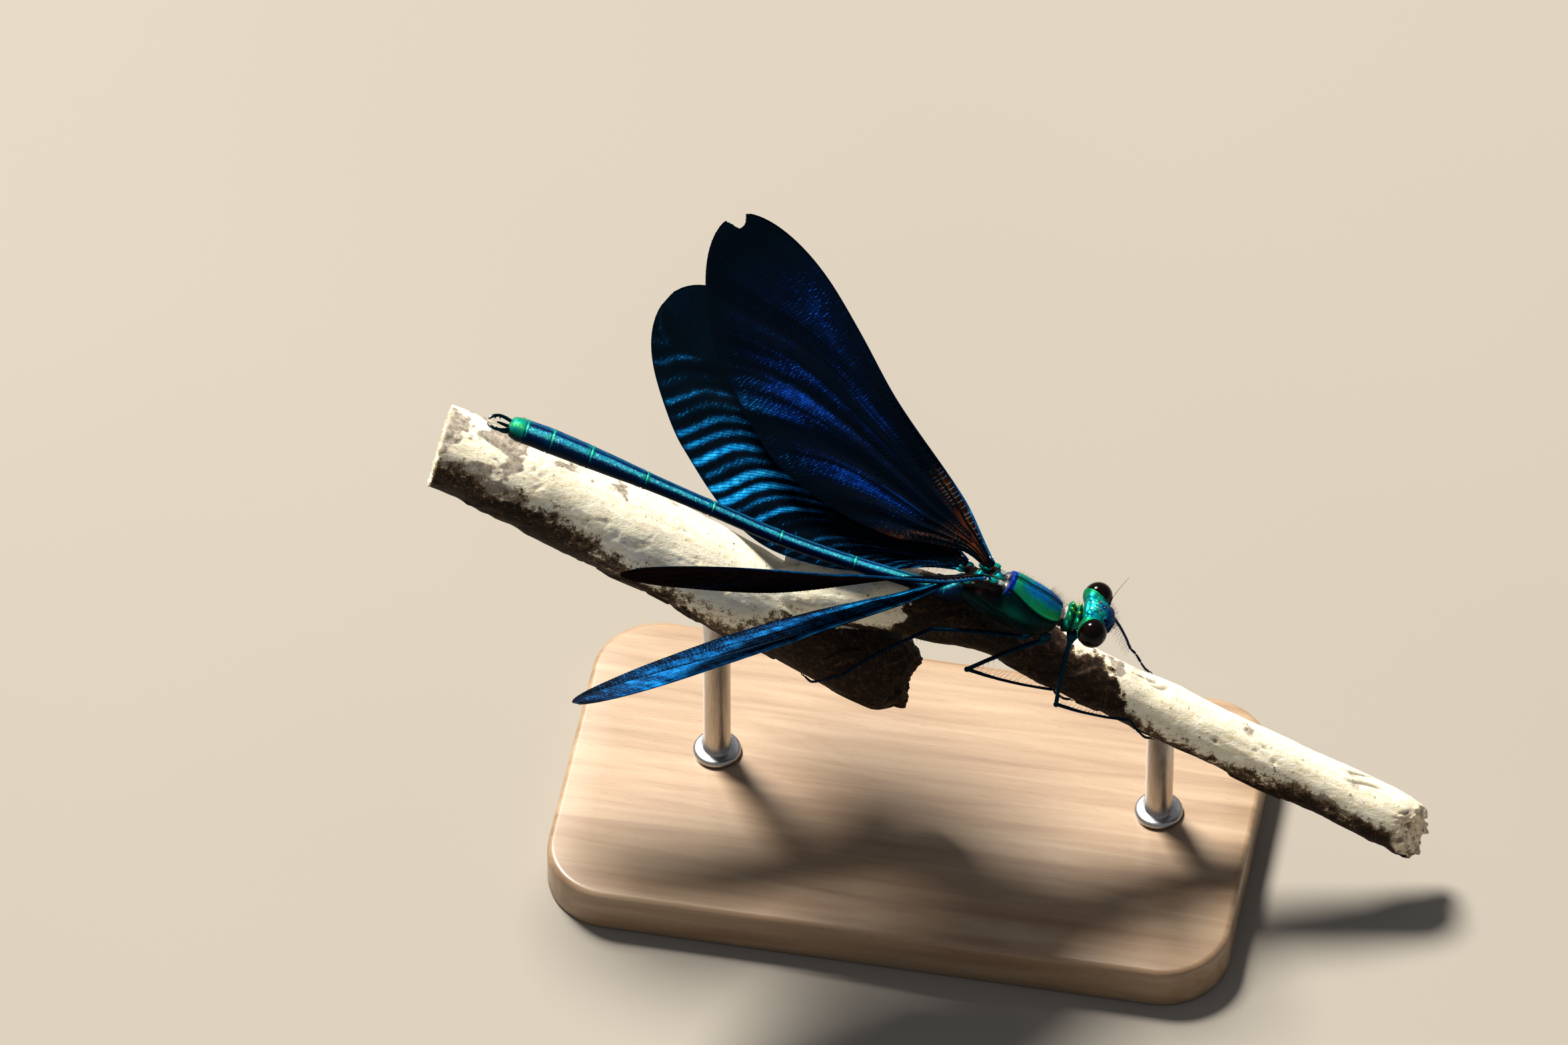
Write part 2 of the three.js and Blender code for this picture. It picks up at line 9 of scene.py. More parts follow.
import bpy
import numpy as np
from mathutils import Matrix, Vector


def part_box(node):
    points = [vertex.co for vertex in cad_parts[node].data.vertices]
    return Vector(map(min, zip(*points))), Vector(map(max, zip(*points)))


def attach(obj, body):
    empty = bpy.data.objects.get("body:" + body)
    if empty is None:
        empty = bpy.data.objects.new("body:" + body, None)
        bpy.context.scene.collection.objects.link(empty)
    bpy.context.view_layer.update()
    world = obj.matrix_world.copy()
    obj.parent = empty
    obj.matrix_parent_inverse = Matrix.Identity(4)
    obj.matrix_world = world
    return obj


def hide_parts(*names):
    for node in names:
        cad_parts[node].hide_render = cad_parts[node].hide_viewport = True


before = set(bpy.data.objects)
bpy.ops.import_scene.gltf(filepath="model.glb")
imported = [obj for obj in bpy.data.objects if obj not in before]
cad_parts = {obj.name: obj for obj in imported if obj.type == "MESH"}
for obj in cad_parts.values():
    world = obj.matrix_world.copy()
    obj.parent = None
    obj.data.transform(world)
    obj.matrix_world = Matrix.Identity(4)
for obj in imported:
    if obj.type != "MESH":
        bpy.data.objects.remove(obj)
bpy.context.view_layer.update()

TAU = 2 * math.pi
PITCH = math.radians(16)
MM = 1000  # millimetres in a metre
FROM_STAND = np.array([8.5, 0.5])  # from the middle of the base to the thorax, across the floor
low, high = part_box("stand_base")
THORAX_HEIGHT = 25.2
THORAX_AT = np.array([(low.x + high.x) / 2 * MM + FROM_STAND[0],
                      (low.y + high.y) / 2 * MM + FROM_STAND[1], THORAX_HEIGHT])

# ---- frames, curves and noise


def display(p, pitch=PITCH):
    """Insect frame to display frame."""
    p = np.asarray(p, float)
    c, s = math.cos(pitch), math.sin(pitch)
    return np.stack([c * p[..., 0] + s * p[..., 2], p[..., 1], c * p[..., 2] - s * p[..., 0]], -1)


def insect(p):
    """Display frame to insect frame."""
    return display(p, -PITCH)


def unit(v):
    """Directions of length 1."""
    v = np.asarray(v, float)
    return v / np.maximum(np.linalg.norm(v, axis=-1, keepdims=True), 1e-12)


def profile(pairs):
    """A smooth curve through [x, value] pairs in rising order of x."""
    xs, vs = np.array(pairs, float).T
    ahead = np.minimum(np.arange(len(xs)) + 1, len(xs) - 1)
    behind = np.maximum(np.arange(len(xs)) - 1, 0)
    slope = (vs[ahead] - vs[behind]) / (xs[ahead] - xs[behind])

    def at(x):
        x = np.asarray(x, float)
        i = np.clip(np.searchsorted(xs, x, side="left") - 1, 0, len(xs) - 2)
        span = xs[i + 1] - xs[i]
        t = np.clip((x - xs[i]) / span, 0, 1)
        s = 1 - t
        return (vs[i] * (1 + 2 * t) * s * s + slope[i] * span * t * s * s
                + vs[i + 1] * t * t * (3 - 2 * t) - slope[i + 1] * span * t * t * s)
    return at


def smooth(low_edge, high_edge, x):
    """A soft step from 0 to 1, or from 1 to 0 if the edges are the other way round."""
    t = np.clip((np.asarray(x, float) - low_edge) / (high_edge - low_edge), 0, 1)
    return t * t * (3 - 2 * t)


def bell(x, width):
    """1 at x = 0, falling to nothing on both sides."""
    return np.exp(-(np.asarray(x, float) / width) ** 2)


def circle(count, full=TAU):
    """Angles spread evenly round a circle."""
    return np.arange(count) * full / count


def surface(xs, columns, full=TAU):
    """The x and the angle of every point of a skin, (rows, columns) each."""
    return np.broadcast_arrays(xs[:, None], circle(columns, full)[None])


def through(points, s, fine):
    """A smooth line through points that stand at s, read at fine."""
    return np.stack([profile(np.stack([s, points[:, k]], -1))(fine) for k in range(3)], -1)


def fan(count):
    """Small offsets that keep points with one place in the bake apart."""
    turn = np.arange(count) * 2.4
    return 0.0015 * np.stack([np.cos(turn), np.sin(turn)], -1)


def scatter(*seeds):
    """Evenly spread numbers from 0 to 1, always the same for the same seeds."""
    h = np.zeros(np.broadcast(*[np.asarray(s) for s in seeds]).shape, np.uint64)
    for k, s in enumerate(seeds):
        h = (h ^ (np.asarray(s).astype(np.int64).astype(np.uint64) + np.uint64(0x9E3779B9 * (k + 1)))) \
            * np.uint64(0xD6E8FEB86659FD93)
        h ^= h >> np.uint64(32)
    return (h & np.uint64(0xFFFFFF)).astype(float) / 0xFFFFFF


def leans(chosen, seed):
    """A random lean for each chosen place, always the same for the same seed."""
    return np.stack([scatter(chosen, seed + k) - 0.5 for k in range(3)], -1)


def noise(p, size, seed=0, octaves=3):
    """Soft noise between about -1 and 1; size is how far apart its bumps are."""
    p = np.asarray(p, float)
    total, strength, norm = 0.0, 1.0, 0.0
    for octave in range(octaves):
        q = p / size * 2 ** octave
        cell = np.floor(q)
        f = q - cell
        f = f * f * (3 - 2 * f)
        value = 0.0
        for corner in range(8):
            bits = [(corner >> k) & 1 for k in range(3)]
            weight = np.prod([f[..., k] if b else 1 - f[..., k] for k, b in enumerate(bits)], axis=0)
            value = value + weight * scatter(*[cell[..., k] + b for k, b in enumerate(bits)], seed + octave)
        total = total + strength * (value * 2 - 1)
        norm += strength
        strength *= 0.5
    return total / norm


# ---- meshes


def linked(name, data):
    """A new object in the scene."""
    thing = bpy.data.objects.new(name, data)
    bpy.context.scene.collection.objects.link(thing)
    return thing


def piece(name, points, faces, material, replaces=(), where=display, marks=None, bake_at=None):
    """A mesh of the model. points are millimetres in the frame that `where` turns into the display
    frame; faces is a list of arrays, one for each number of corners. marks are named values, one
    for each point, that the material reads; bake_at is each point's place in the bake."""
    points = (where(points) if where else np.asarray(points, float)) + THORAX_AT
    faces = [np.asarray(f, np.int64) for f in faces if len(f)]
    mesh = bpy.data.meshes.new(name)
    mesh.vertices.add(len(points))
    mesh.vertices.foreach_set("co", (points / MM).astype(np.float32).ravel())
    corners = np.concatenate([f.ravel() for f in faces])
    mesh.loops.add(len(corners))
    mesh.loops.foreach_set("vertex_index", corners.astype(np.int32))
    sizes = np.concatenate([np.full(len(f), f.shape[1]) for f in faces])
    mesh.polygons.add(len(sizes))
    mesh.polygons.foreach_set("loop_start", np.concatenate([[0], np.cumsum(sizes)[:-1]]).astype(np.int32))
    mesh.materials.append(material)
    mesh.update(calc_edges=True)
    mesh.shade_smooth()
    for mark, values in (marks or {}).items():
        attribute = mesh.attributes.new(mark, "FLOAT", "POINT")
        attribute.data.foreach_set("value", np.asarray(values, np.float32).ravel())
    if bake_at is not None:
        layer = mesh.uv_layers.new(name="OFBake")
        layer.data.foreach_set("uv", np.asarray(bake_at, np.float32)[corners].ravel())
    mesh.validate()
    thing = linked(name, mesh)
    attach(thing, "root")
    if replaces:
        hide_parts(*replaces)
    return thing


def grid_faces(rows, columns, closed=True):
    """Four-cornered faces between rows of points, wrapping round if closed."""
    i = np.arange(rows - 1)[:, None]
    j = np.arange(columns if closed else columns - 1)[None, :]
    k = (j + 1) % columns
    here, above = i * columns, (i + 1) * columns
    return np.stack([here + j, here + k, above + k, above + j], -1).reshape(-1, 4)


def capped_grid(rings):
    """A closed body from rings of points (rows, columns, 3): its points and faces."""
    rows, columns = rings.shape[:2]
    points = np.concatenate([rings.reshape(-1, 3), [rings[0].mean(0), rings[-1].mean(0)]])
    j = np.arange(columns)
    k = (j + 1) % columns
    first, last = rows * columns, rows * columns + 1
    start = (rows - 1) * columns
    return points, [grid_faces(rows, columns),
                    np.concatenate([np.stack([k, j, np.full(columns, first)], -1),
                                    np.stack([start + j, start + k, np.full(columns, last)], -1)])]


def tube_rings(line, radii, sides, around=(0, 0, 1), squash=1.0):
    """Rings of points round a line. squash narrows them across `around`."""
    line = np.asarray(line, float)
    ahead = unit(np.gradient(line, axis=0))
    side = np.asarray(around, float)
    rings = []
    angles = circle(sides)
    for p, a, r in zip(line, ahead, np.broadcast_to(radii, len(line))):
        side = unit(side - a * side.dot(a))
        other = np.cross(a, side)
        rings.append(p + r * (np.cos(angles)[:, None] * side + squash * np.sin(angles)[:, None] * other))
    return np.array(rings)


def gather(bodies):
    """Several (points, faces) bodies as one."""
    points, faces, shift = [], {}, 0
    for p, groups in bodies:
        for f in groups:
            if len(f):
                faces.setdefault(f.shape[1], []).append(f + shift)
        points.append(p)
        shift += len(p)
    return np.concatenate(points), [np.concatenate(f) for f in faces.values()]


def prisms(a, b, radius_a, radius_b, up, sides=3):
    """Many straight closed bars or spines at once, from points a to points b."""
    a, b = np.asarray(a, float), np.asarray(b, float)
    ahead = unit(b - a)
    side = np.broadcast_to(np.asarray(up, float), a.shape)
    side = unit(side - ahead * (side * ahead).sum(-1, keepdims=True))
    other = np.cross(ahead, side)
    angles = circle(sides)
    across = np.cos(angles)[None, :, None] * side[:, None] + np.sin(angles)[None, :, None] * other[:, None]
    ra, rb = (np.broadcast_to(r, len(a))[:, None, None] for r in (radius_a, radius_b))
    points = np.concatenate([a[:, None] + across * ra, b[:, None] + across * rb], 1).reshape(-1, 3)
    base = np.arange(len(a))[:, None] * 2 * sides
    j = np.arange(sides)
    k = (j + 1) % sides
    walls = np.stack([j, k, k + sides, j + sides], -1)
    walls = (base[:, :, None] + walls[None]).reshape(-1, 4)
    ends = np.stack([j[::-1], j + sides])
    ends = (base[:, :, None] + ends[None]).reshape(-1, sides)
    return points, ([walls, ends] if sides != 4 else [np.concatenate([walls, ends])])


def ball(centre, radii, wide=32, high=20):
    """A closed ellipsoid."""
    up = np.linspace(-math.pi / 2, math.pi / 2, high + 1)[1:-1]
    turn = circle(wide)
    rings = np.stack([np.cos(up)[:, None] * np.cos(turn), np.cos(up)[:, None] * np.sin(turn),
                      np.sin(up)[:, None] * np.ones(wide)], -1)
    points, faces = capped_grid(rings)
    points[-2:] = [[0, 0, -1], [0, 0, 1]]
    return points * np.asarray(radii) + np.asarray(centre), faces


def values_of(items, name, per, kind):
    """One value, or a few, for each of a mesh's points, corners or faces."""
    out = np.zeros(len(items) * per, kind)
    items.foreach_get(name, out)
    return out


def fused(bodies, voxel, soften):
    """Several closed bodies grown together into one skin. Returns its points, faces and normals."""
    points, faces = gather(bodies)
    mesh = bpy.data.meshes.new("rough")
    mesh.from_pydata(points.tolist(), [], [f for group in faces for f in group.tolist()])
    thing = linked("rough", mesh)
    remesh = thing.modifiers.new("grow", "REMESH")
    remesh.mode = "VOXEL"
    remesh.voxel_size = voxel
    relax = thing.modifiers.new("soften", "SMOOTH")
    relax.factor = 0.6
    relax.iterations = soften
    bpy.context.view_layer.update()
    made = bpy.data.meshes.new_from_object(thing.evaluated_get(bpy.context.evaluated_depsgraph_get()))
    out, normals = (values_of(made.vertices, name, 3, np.float32).reshape(-1, 3).astype(float)
                    for name in ("co", "normal"))
    corners = values_of(made.loops, "vertex_index", 1, np.int32)
    totals = values_of(made.polygons, "loop_total", 1, np.int32)
    starts = np.concatenate([[0], np.cumsum(totals)[:-1]])
    groups = [corners[starts[totals == n][:, None] + np.arange(n)] for n in np.unique(totals)]
    bpy.data.objects.remove(thing)
    bpy.data.meshes.remove(made)
    bpy.data.meshes.remove(mesh)
    return out, groups, normals


# ---- materials


class Paint:
    """A material's nodes, put together in a few words."""

    def __init__(self, name, **settings):
        self.material = bpy.data.materials.new(name)
        self.material.use_nodes = True
        self.tree = self.material.node_tree
        self.shader = self.tree.nodes["Principled BSDF"]
        for key, value in settings.items():
            self.shader.inputs[key.replace("_", " ")].default_value = value
        coordinates = self.tree.nodes.new("ShaderNodeTexCoord")
        scale = self.tree.nodes.new("ShaderNodeVectorMath")
        scale.operation = "MULTIPLY"
        scale.inputs[1].default_value = (MM, MM, MM)
        self.tree.links.new(coordinates.outputs["Object"], scale.inputs[0])
        self.place = scale.outputs[0]

    def put(self, socket, value):
        if isinstance(value, bpy.types.NodeSocket):
            self.tree.links.new(value, socket)
        else:
            socket.default_value = value

    def mark(self, name):
        """A value that piece() stored on the mesh."""
        node = self.tree.nodes.new("ShaderNodeAttribute")
        node.attribute_name = name
        return node.outputs["Fac"]

    def turned(self, turn, stretch):
        """The place in millimetres, turned about Y and stretched."""
        node = self.tree.nodes.new("ShaderNodeMapping")
        self.tree.links.new(self.place, node.inputs["Vector"])
        node.inputs["Rotation"].default_value = (0, math.radians(turn), 0)
        node.inputs["Scale"].default_value = stretch
        return node.outputs[0]

    def noise(self, scale, detail=3, rough=0.5, place=None, distort=0.0):
        node = self.tree.nodes.new("ShaderNodeTexNoise")
        self.put(node.inputs["Vector"], place or self.place)
        for key, value in (("Scale", scale), ("Detail", detail), ("Roughness", rough),
                           ("Distortion", distort)):
            node.inputs[key].default_value = value
        return node.outputs["Fac"]

    def cells(self, scale, feature="F1"):
        node = self.tree.nodes.new("ShaderNodeTexVoronoi")
        node.feature = feature
        self.put(node.inputs["Vector"], self.place)
        node.inputs["Scale"].default_value = scale
        return node.outputs["Distance"]

    def sums(self, operation, a, b, clamp=False):
        node = self.tree.nodes.new("ShaderNodeMath")
        node.operation = operation
        node.use_clamp = clamp
        self.put(node.inputs[0], a)
        self.put(node.inputs[1], b)
        return node.outputs[0]

    def times(self, a, b):
        return self.sums("MULTIPLY", a, b)

    def spread(self, value, middle, strength):
        """How far a value lies from its middle, made stronger."""
        return self.times(self.sums("SUBTRACT", value, middle), strength)

    def ramp(self, factor, stops):
        node = self.tree.nodes.new("ShaderNodeValToRGB")
        self.put(node.inputs["Fac"], factor)
        elements = node.color_ramp.elements
        while len(elements) < len(stops):
            elements.new(0.5)
        for element, (at, colour) in zip(elements, stops):
            element.position = at
            element.color = (*colour, 1) if isinstance(colour, tuple) else (colour, colour, colour, 1)
        return node.outputs["Color"]

    def between(self, factor, first, last):
        """From one colour to another over the middle of a noise."""
        return self.ramp(factor, [(0.3, first), (0.7, last)])

    def mix(self, factor, a, b):
        node = self.tree.nodes.new("ShaderNodeMix")
        node.data_type = "RGBA"
        self.put(node.inputs["Factor"], factor)
        for socket, value in ((node.inputs[6], a), (node.inputs[7], b)):
            self.put(socket, (*value, 1) if isinstance(value, tuple) and len(value) == 3 else value)
        return node.outputs[2]

    def colour(self, value):
        self.put(self.shader.inputs["Base Color"], value)
        return self

    def rough(self, value, low_end, high_end):
        node = self.tree.nodes.new("ShaderNodeMapRange")
        self.put(node.inputs["Value"], value)
        node.inputs["To Min"].default_value = low_end
        node.inputs["To Max"].default_value = high_end
        self.put(self.shader.inputs["Roughness"], node.outputs[0])
        return self

    def bump(self, height, millimetres, strength=1.0):
        node = self.tree.nodes.new("ShaderNodeBump")
        self.put(node.inputs["Height"], height)
        node.inputs["Strength"].default_value = strength
        node.inputs["Distance"].default_value = millimetres / MM
        previous = self.shader.inputs["Normal"]
        if previous.is_linked:
            self.tree.links.new(previous.links[0].from_socket, node.inputs["Normal"])
        self.put(previous, node.outputs[0])
        return self


# ---- wings

FORE = {
    "length": 31.6, "tip": 1.2,
    "lead": [[0, -0.1], [0.07, -0.3], [0.2, -0.6], [0.43, -0.8], [0.6, -1.5], [0.72, -1.9], [1, -2.4]],
    "trail": [[0, 0.55], [0.06, 1.3], [0.12, 3.2], [0.17, 4.9], [0.23, 6.1], [0.3, 7.2], [0.4, 8.3],
              [0.48, 8.8], [0.58, 8.65], [0.67, 8.2], [0.72, 7.95], [0.87, 7], [1, 6.3]],
}
HIND = {
    "length": 30.3, "tip": 0.5,
    "lead": [[0, -0.25], [0.2, -0.9], [0.5, -2], [0.72, -2.9], [1, -4.2]],
    "trail": [[0, 0.6], [0.06, 1.95], [0.12, 3.8], [0.2, 6.1], [0.3, 7.9], [0.4, 9], [0.5, 9.2],
              [0.6, 8.7], [0.72, 7.7], [0.85, 6.6], [1, 6]],
}
SHOULDER = 0.72  # where the tip starts to round off, as a share of the wing's length
INWARD_REACH = 0.16  # the share of the wing that is drawn in towards the body
NODUS = 0.42  # where the leading edge has its nick
ENDINGS = 96  # veins that end along the trailing edge
CAMBER, FOLDS, FOLD_HEIGHT = 0.35, 6, 0.075
MEMBRANE_THICK, SPANS, CHORDS = 0.018, 220, 100
# The long veins come in four orders: where each starts, as a share of its line, and its radius.
VEIN_STARTS = {8: 0.0, 4: 0.33, 2: 0.54, 1: 0.7}
VEIN_SIZES = {8: 0.055, 4: 0.043, 2: 0.036, 1: 0.03}
VEIN_TIP, CROSS_VEIN, CROSS_GAP, CROSS_GAP_FRONT = 0.026, 0.027, 0.3, 0.32


class Wing:
    """Where things lie on a wing: t runs from root to tip, s from the leading to the trailing edge."""

    def __init__(self, shape, root, reach, back, twist):
        self.root, self.length, self.tip = np.array(root, float), shape["length"], shape["tip"]
        self.lead, self.trail = profile(shape["lead"]), profile(shape["trail"])
        along = unit(reach)
        across = np.array(back, float)
        across = unit(across - along * along.dot(across))
        self.along, self.chord = insect(along), insect(across)
        outer = unit(np.cross(self.along, self.chord))
        self.upper = outer if outer[2] > 0 else -outer
        self.twist = math.radians(twist)
        self.inward = np.array([-0.25, -math.copysign(0.62 if root[0] > -4 else 0.4, root[1]), 0])

    def edges(self, t):
        """How far the leading and the trailing edge lie from the wing's axis."""
        past = np.maximum(t - SHOULDER, 0) / (1 - SHOULDER)
        narrow = np.sqrt(np.maximum(1 - past * past, 0))
        return [np.where(past > 0, self.tip + (v - self.tip) * narrow, v)
                for v in (self.lead(t), self.trail(t))]

    def strip(self, t):
        """How much of the chord lies ahead of the radius vein."""
        front, rear = self.edges(t)
        return np.minimum(0.17, 0.6 / np.maximum(rear - front, 0.1))

    def field(self, t, s):
        """How far a point lies from the radius vein (0) to the trailing edge (1)."""
        ahead = self.strip(t)
        return (s - ahead) / (1 - ahead)

    def sweep(self, t, q):
        """Field position of vein q at t: it starts near the root and bends to the trailing edge."""
        u = np.clip(t / (1 - 0.95 * q), 0, 1)
        return 0.9 * q + (1 - 0.9 * q) * ((0.06 + 0.14 * q) * u + (0.94 - 0.14 * q) * u ** 4)

    def vein_at(self, t, s):
        """The vein number q that runs through a point."""
        q = np.linspace(0, 1, 241)
        t, f = np.broadcast_arrays(t, self.field(t, s))
        rows = self.sweep(t.reshape(-1, 1), q[None, :])
        return np.array([np.interp(b, row, q) for b, row in zip(f.ravel(), rows)]).reshape(t.shape)

    def place(self, t, s, rise=0.0):
        """The point of the wing at t and s, in the insect frame."""
        t, s = np.broadcast_arrays(np.asarray(t, float), np.asarray(s, float))
        front, rear = self.edges(t)
        turn = self.twist * (1 - np.minimum(t / 0.45, 1)) ** 2
        chord = np.cos(turn)[..., None] * self.chord + np.sin(turn)[..., None] * self.upper
        bulge = CAMBER * 4 * s * (1 - s) * np.sin(np.pi * np.minimum(t + 0.1, 1)) + rise
        near = (1 - smooth(0, INWARD_REACH, t))[..., None]
        return (self.root + self.inward * near + self.along * (self.length * t)[..., None]
                + chord * (front + (rear - front) * s)[..., None] + self.upper * bulge[..., None])


WINGS = {
    "wing_fore_left": Wing(FORE, [-3.3, 1.25, 2.45], [-21.95, 18.45, 12.9], [-0.72, -0.57, -0.385], 13),
    "wing_fore_right": Wing(FORE, [-3.3, -1.25, 2.45], [-22.21, -16.21, 15.16], [-0.611, 0.347, -0.699], 24),
    "wing_hind_left": Wing(HIND, [-5.1, 1.05, 1.6], [-25.1, 16.4, 6], [-0.551, -0.668, -0.501], 0),
    "wing_hind_right": Wing(HIND, [-5.1, -1.05, 1.6], [-25.1, -17.4, 1], [-0.354, 0.663, -0.66], 0),
}
# The piece torn from the left fore wing: millimetres along and across the wing from its tip.
NOTCH = [[1, -1.1], [1, 1.9], [-0.2, 1.4], [-0.75, 1.15], [-1.2, 0.9], [-0.95, 0.45], [-0.5, 0.05],
         [-0.2, -0.6]]


def in_notch(wing, p):
    """Whether points of the left fore wing fall in the piece torn from its tip."""
    from_tip = p - (wing.root + wing.along * wing.length)
    u, v = from_tip @ wing.along, from_tip @ wing.chord
    u, v = u + 0.07 * noise(p, 0.35, 5), v + 0.07 * noise(p, 0.3, 6)
    inside = np.zeros(u.shape, bool)
    for (ua, va), (ub, vb) in zip(NOTCH, NOTCH[1:] + NOTCH[:1]):
        crosses = (va > v) != (vb > v)
        inside ^= crosses & (u < ua + (ub - ua) * (v - va) / ((vb - va) or 1e-9))
    return inside


def pleat(wing, t, s, q):
    """The folds of the wing: veins in turn stand on its ridges and lie in its furrows."""
    f = wing.field(t, s)
    fade = smooth(0.02, 0.2, t) * (1 - smooth(0.75, 1, f)) * (1 - smooth(0.8, 0.97, t))
    front = np.clip(s / wing.strip(t), 0, 1)
    costal = 0.1 * np.cos(TAU * front) * smooth(0.0, 0.1, t) * (1 - smooth(NODUS - 0.01, NODUS + 0.05, t))
    return np.where(f > 0, FOLD_HEIGHT * np.cos(TAU * FOLDS * q) * fade + costal * (1 - smooth(0, 0.05, f)),
                    costal)


def glow(name, t, s, q, p):
    """How blue (0 to 1), how cyan, and how brown the wing's upper side is at each point. The blue is partly
    the wing's own dark blue and partly painted glints and sheen, in streaks, patches and stripes where folds
    and cross veins catch the light.
    """
    wing = WINGS[name]
    f = wing.field(t, s)
    patch = 0.5 + 0.5 * noise(p, 2.6, 11, 3)
    fine = 0.5 + 0.5 * noise(p, 0.5, 12, 2)
    flow = np.stack([q * 21, t * 2.6, 0 * q], -1)
    on_vein = (0.5 + 0.5 * np.cos(TAU * 12 * q)) ** 5
    if name.startswith("wing_fore"):
        painted_glint_streaks = smooth(-0.3, 0.45, noise(flow, 1.0, 21, 3))
        front = bell(f - 0.14, 0.11) * smooth(0.3, 0.46, t) * (1 - smooth(0.62, 0.85, t))
        middle = bell(f - 0.6, 0.2) * smooth(0.12, 0.26, t) * (1 - 0.75 * smooth(0.55, 0.82, t))
        outer = 0.3 * smooth(0.45, 0.6, t) * (1 - smooth(0.78, 0.95, t)) + 0.12 * smooth(0.1, 0.2, t)
        blue = (1.25 * (front + middle + outer) * (0.1 + 0.9 * painted_glint_streaks) * (1 - 0.6 * on_vein)
                * (0.4 + 0.75 * patch))
        cyan = 0.08 + 0.45 * bell(f - 0.95, 0.12) + 0.3 * bell(t - 0.05, 0.12)
    elif name == "wing_hind_left":
        wave = q - 0.05 * smooth(0.62, 1.0, f) + 0.03 * (1 - smooth(0.3, 0.8, f)) + 0.005 * noise(p, 1.6, 23)
        one = np.stack([wave, 0 * q, 0 * q], -1)
        wave = wave + 0.01 * noise(one * 8, 1.0, 24)
        strong = smooth(-0.35, 0.35, noise(one * 15, 1.0, 25, 2))
        broken = smooth(-0.55, 0.25, noise(np.stack([wave * 40, t * 9, 0 * q], -1), 1.0, 27, 2))
        painted_glint_stripes = ((0.5 + 0.5 * np.cos(TAU * 24 * wave + 1.2)) ** 1.6 * (0.2 + 0.8 * strong)
                   * (0.35 + 0.65 * broken))
        inner = 0.52 + 0.1 * noise(one * 12, 1.0, 26)
        rim = smooth(inner - 0.1, inner + 0.12, f) * (1 - 0.5 * smooth(0.97, 0.995, s))
        near = (0.45 + 0.55 * (1 - smooth(0.3, 0.75, t))) * (1 - 0.8 * smooth(0.86, 0.95, t))
        blue = rim * near * (0.03 + 2.4 * painted_glint_stripes) * (0.55 + 0.6 * patch) + 0.2 * painted_glint_stripes * (1 - rim) * patch
        cyan = 0.7 + 0.3 * fine
    else:
        ladder = smooth(-0.5, 0.5, noise(np.stack([t * wing.length / 0.5, f * 2.0, 0 * f], -1), 1.0, 22, 2))
        blue = ((0.5 + 0.4 * ladder) * (0.65 + 0.45 * patch) * (1 - 0.5 * smooth(0.5, 0.8, f))
                * (1 - 0.6 * smooth(0.82, 1, t)))
        cyan = 0.45 + 0.5 * (1 - smooth(0.1, 0.4, t)) + 0.2 * fine
    line = bell(s / wing.strip(t), 0.25) * (1 - smooth(0.6, 0.95, t))
    if name == "wing_fore_left":
        line = line * (1 - 0.75 * smooth(0.12, 0.3, t))
    blue = np.maximum(blue, 0.5 * line)
    cyan = np.maximum(cyan, 0.7 * line)
    base = (1 - smooth(0.2, 0.27, t)) * smooth(0.01, 0.03, t)
    brown = base * bell(s / wing.strip(t) - 0.7, 0.8)
    if name.startswith("wing_fore"):
        brown = np.maximum(brown, 0.9 * (1 - smooth(0.06, 0.15, t)) * smooth(0.01, 0.025, t)
                           * smooth(0.2, 0.5, s))
        spot = bell(q - 0.84 - 0.06 * noise(p, 1.5, 13), 0.04)
        brown = np.maximum(brown, 0.85 * spot * smooth(0.05, 0.09, t) * (1 - smooth(0.17, 0.25, t)))
    return np.clip(blue * (0.75 + 0.5 * fine), 0, 1), np.clip(cyan, 0, 1), np.clip(brown, 0, 1)


def membrane(name):
    """The wing's skin as a closed thin sheet: its points, faces and marks."""
    wing = WINGS[name]
    places = np.sin(np.linspace(0, 1, SPANS) * np.pi / 2) ** 1.12 * 0.9985
    across = np.linspace(0, 1, CHORDS)
    across = (1 - np.cos(across * np.pi)) / 2 * 0.35 + across * 0.65
    t, s = np.meshgrid(places, across, indexing="ij")
    q = wing.vein_at(t, s)
    rise = pleat(wing, t, s, q)
    edge = np.minimum(s, 1 - s) / 0.03
    half = MEMBRANE_THICK / 2 * (0.35 + 0.65 * np.clip(edge, 0, 1))
    above, below = wing.place(t, s, rise + half), wing.place(t, s, rise - half)
    count = SPANS * CHORDS
    quads = grid_faces(SPANS, CHORDS, closed=False)
    if name == "wing_fore_left":
        gone = in_notch(wing, wing.place(t, s)).ravel()
        quads = quads[~gone[quads].any(1)]
    edges = np.concatenate([quads[:, [k, (k + 1) % 4]] for k in range(4)])
    key = np.sort(edges, 1) @ [count, 1]
    _, first, times = np.unique(key, return_index=True, return_counts=True)
    border = edges[first[times == 1]]
    outward = np.cross(wing.chord, -wing.along).dot(wing.upper)  # which way round the quads face
    rim = np.stack([border[:, 1], border[:, 0], border[:, 0] + count, border[:, 1] + count], -1)
    faces = np.concatenate([quads, quads[:, ::-1] + count, rim])
    if outward > 0:
        faces = faces[:, ::-1]
    points = np.concatenate([above.reshape(-1, 3), below.reshape(-1, 3)])
    used = np.zeros(len(points), bool)
    used[faces] = True
    fresh = np.cumsum(used) - 1
    blue, cyan, brown = glow(name, t, s, q, wing.place(t, s))
    if name.startswith("wing_fore"):
        blue = blue * 0.74
    marks = {k: np.tile(v.ravel(), 2) for k, v in (("blue", blue), ("cyan", cyan), ("brown", brown))}
    marks["upper"] = np.concatenate([np.ones(count), np.zeros(count)])
    return points[used], [fresh[faces]], {k: v[used] for k, v in marks.items()}


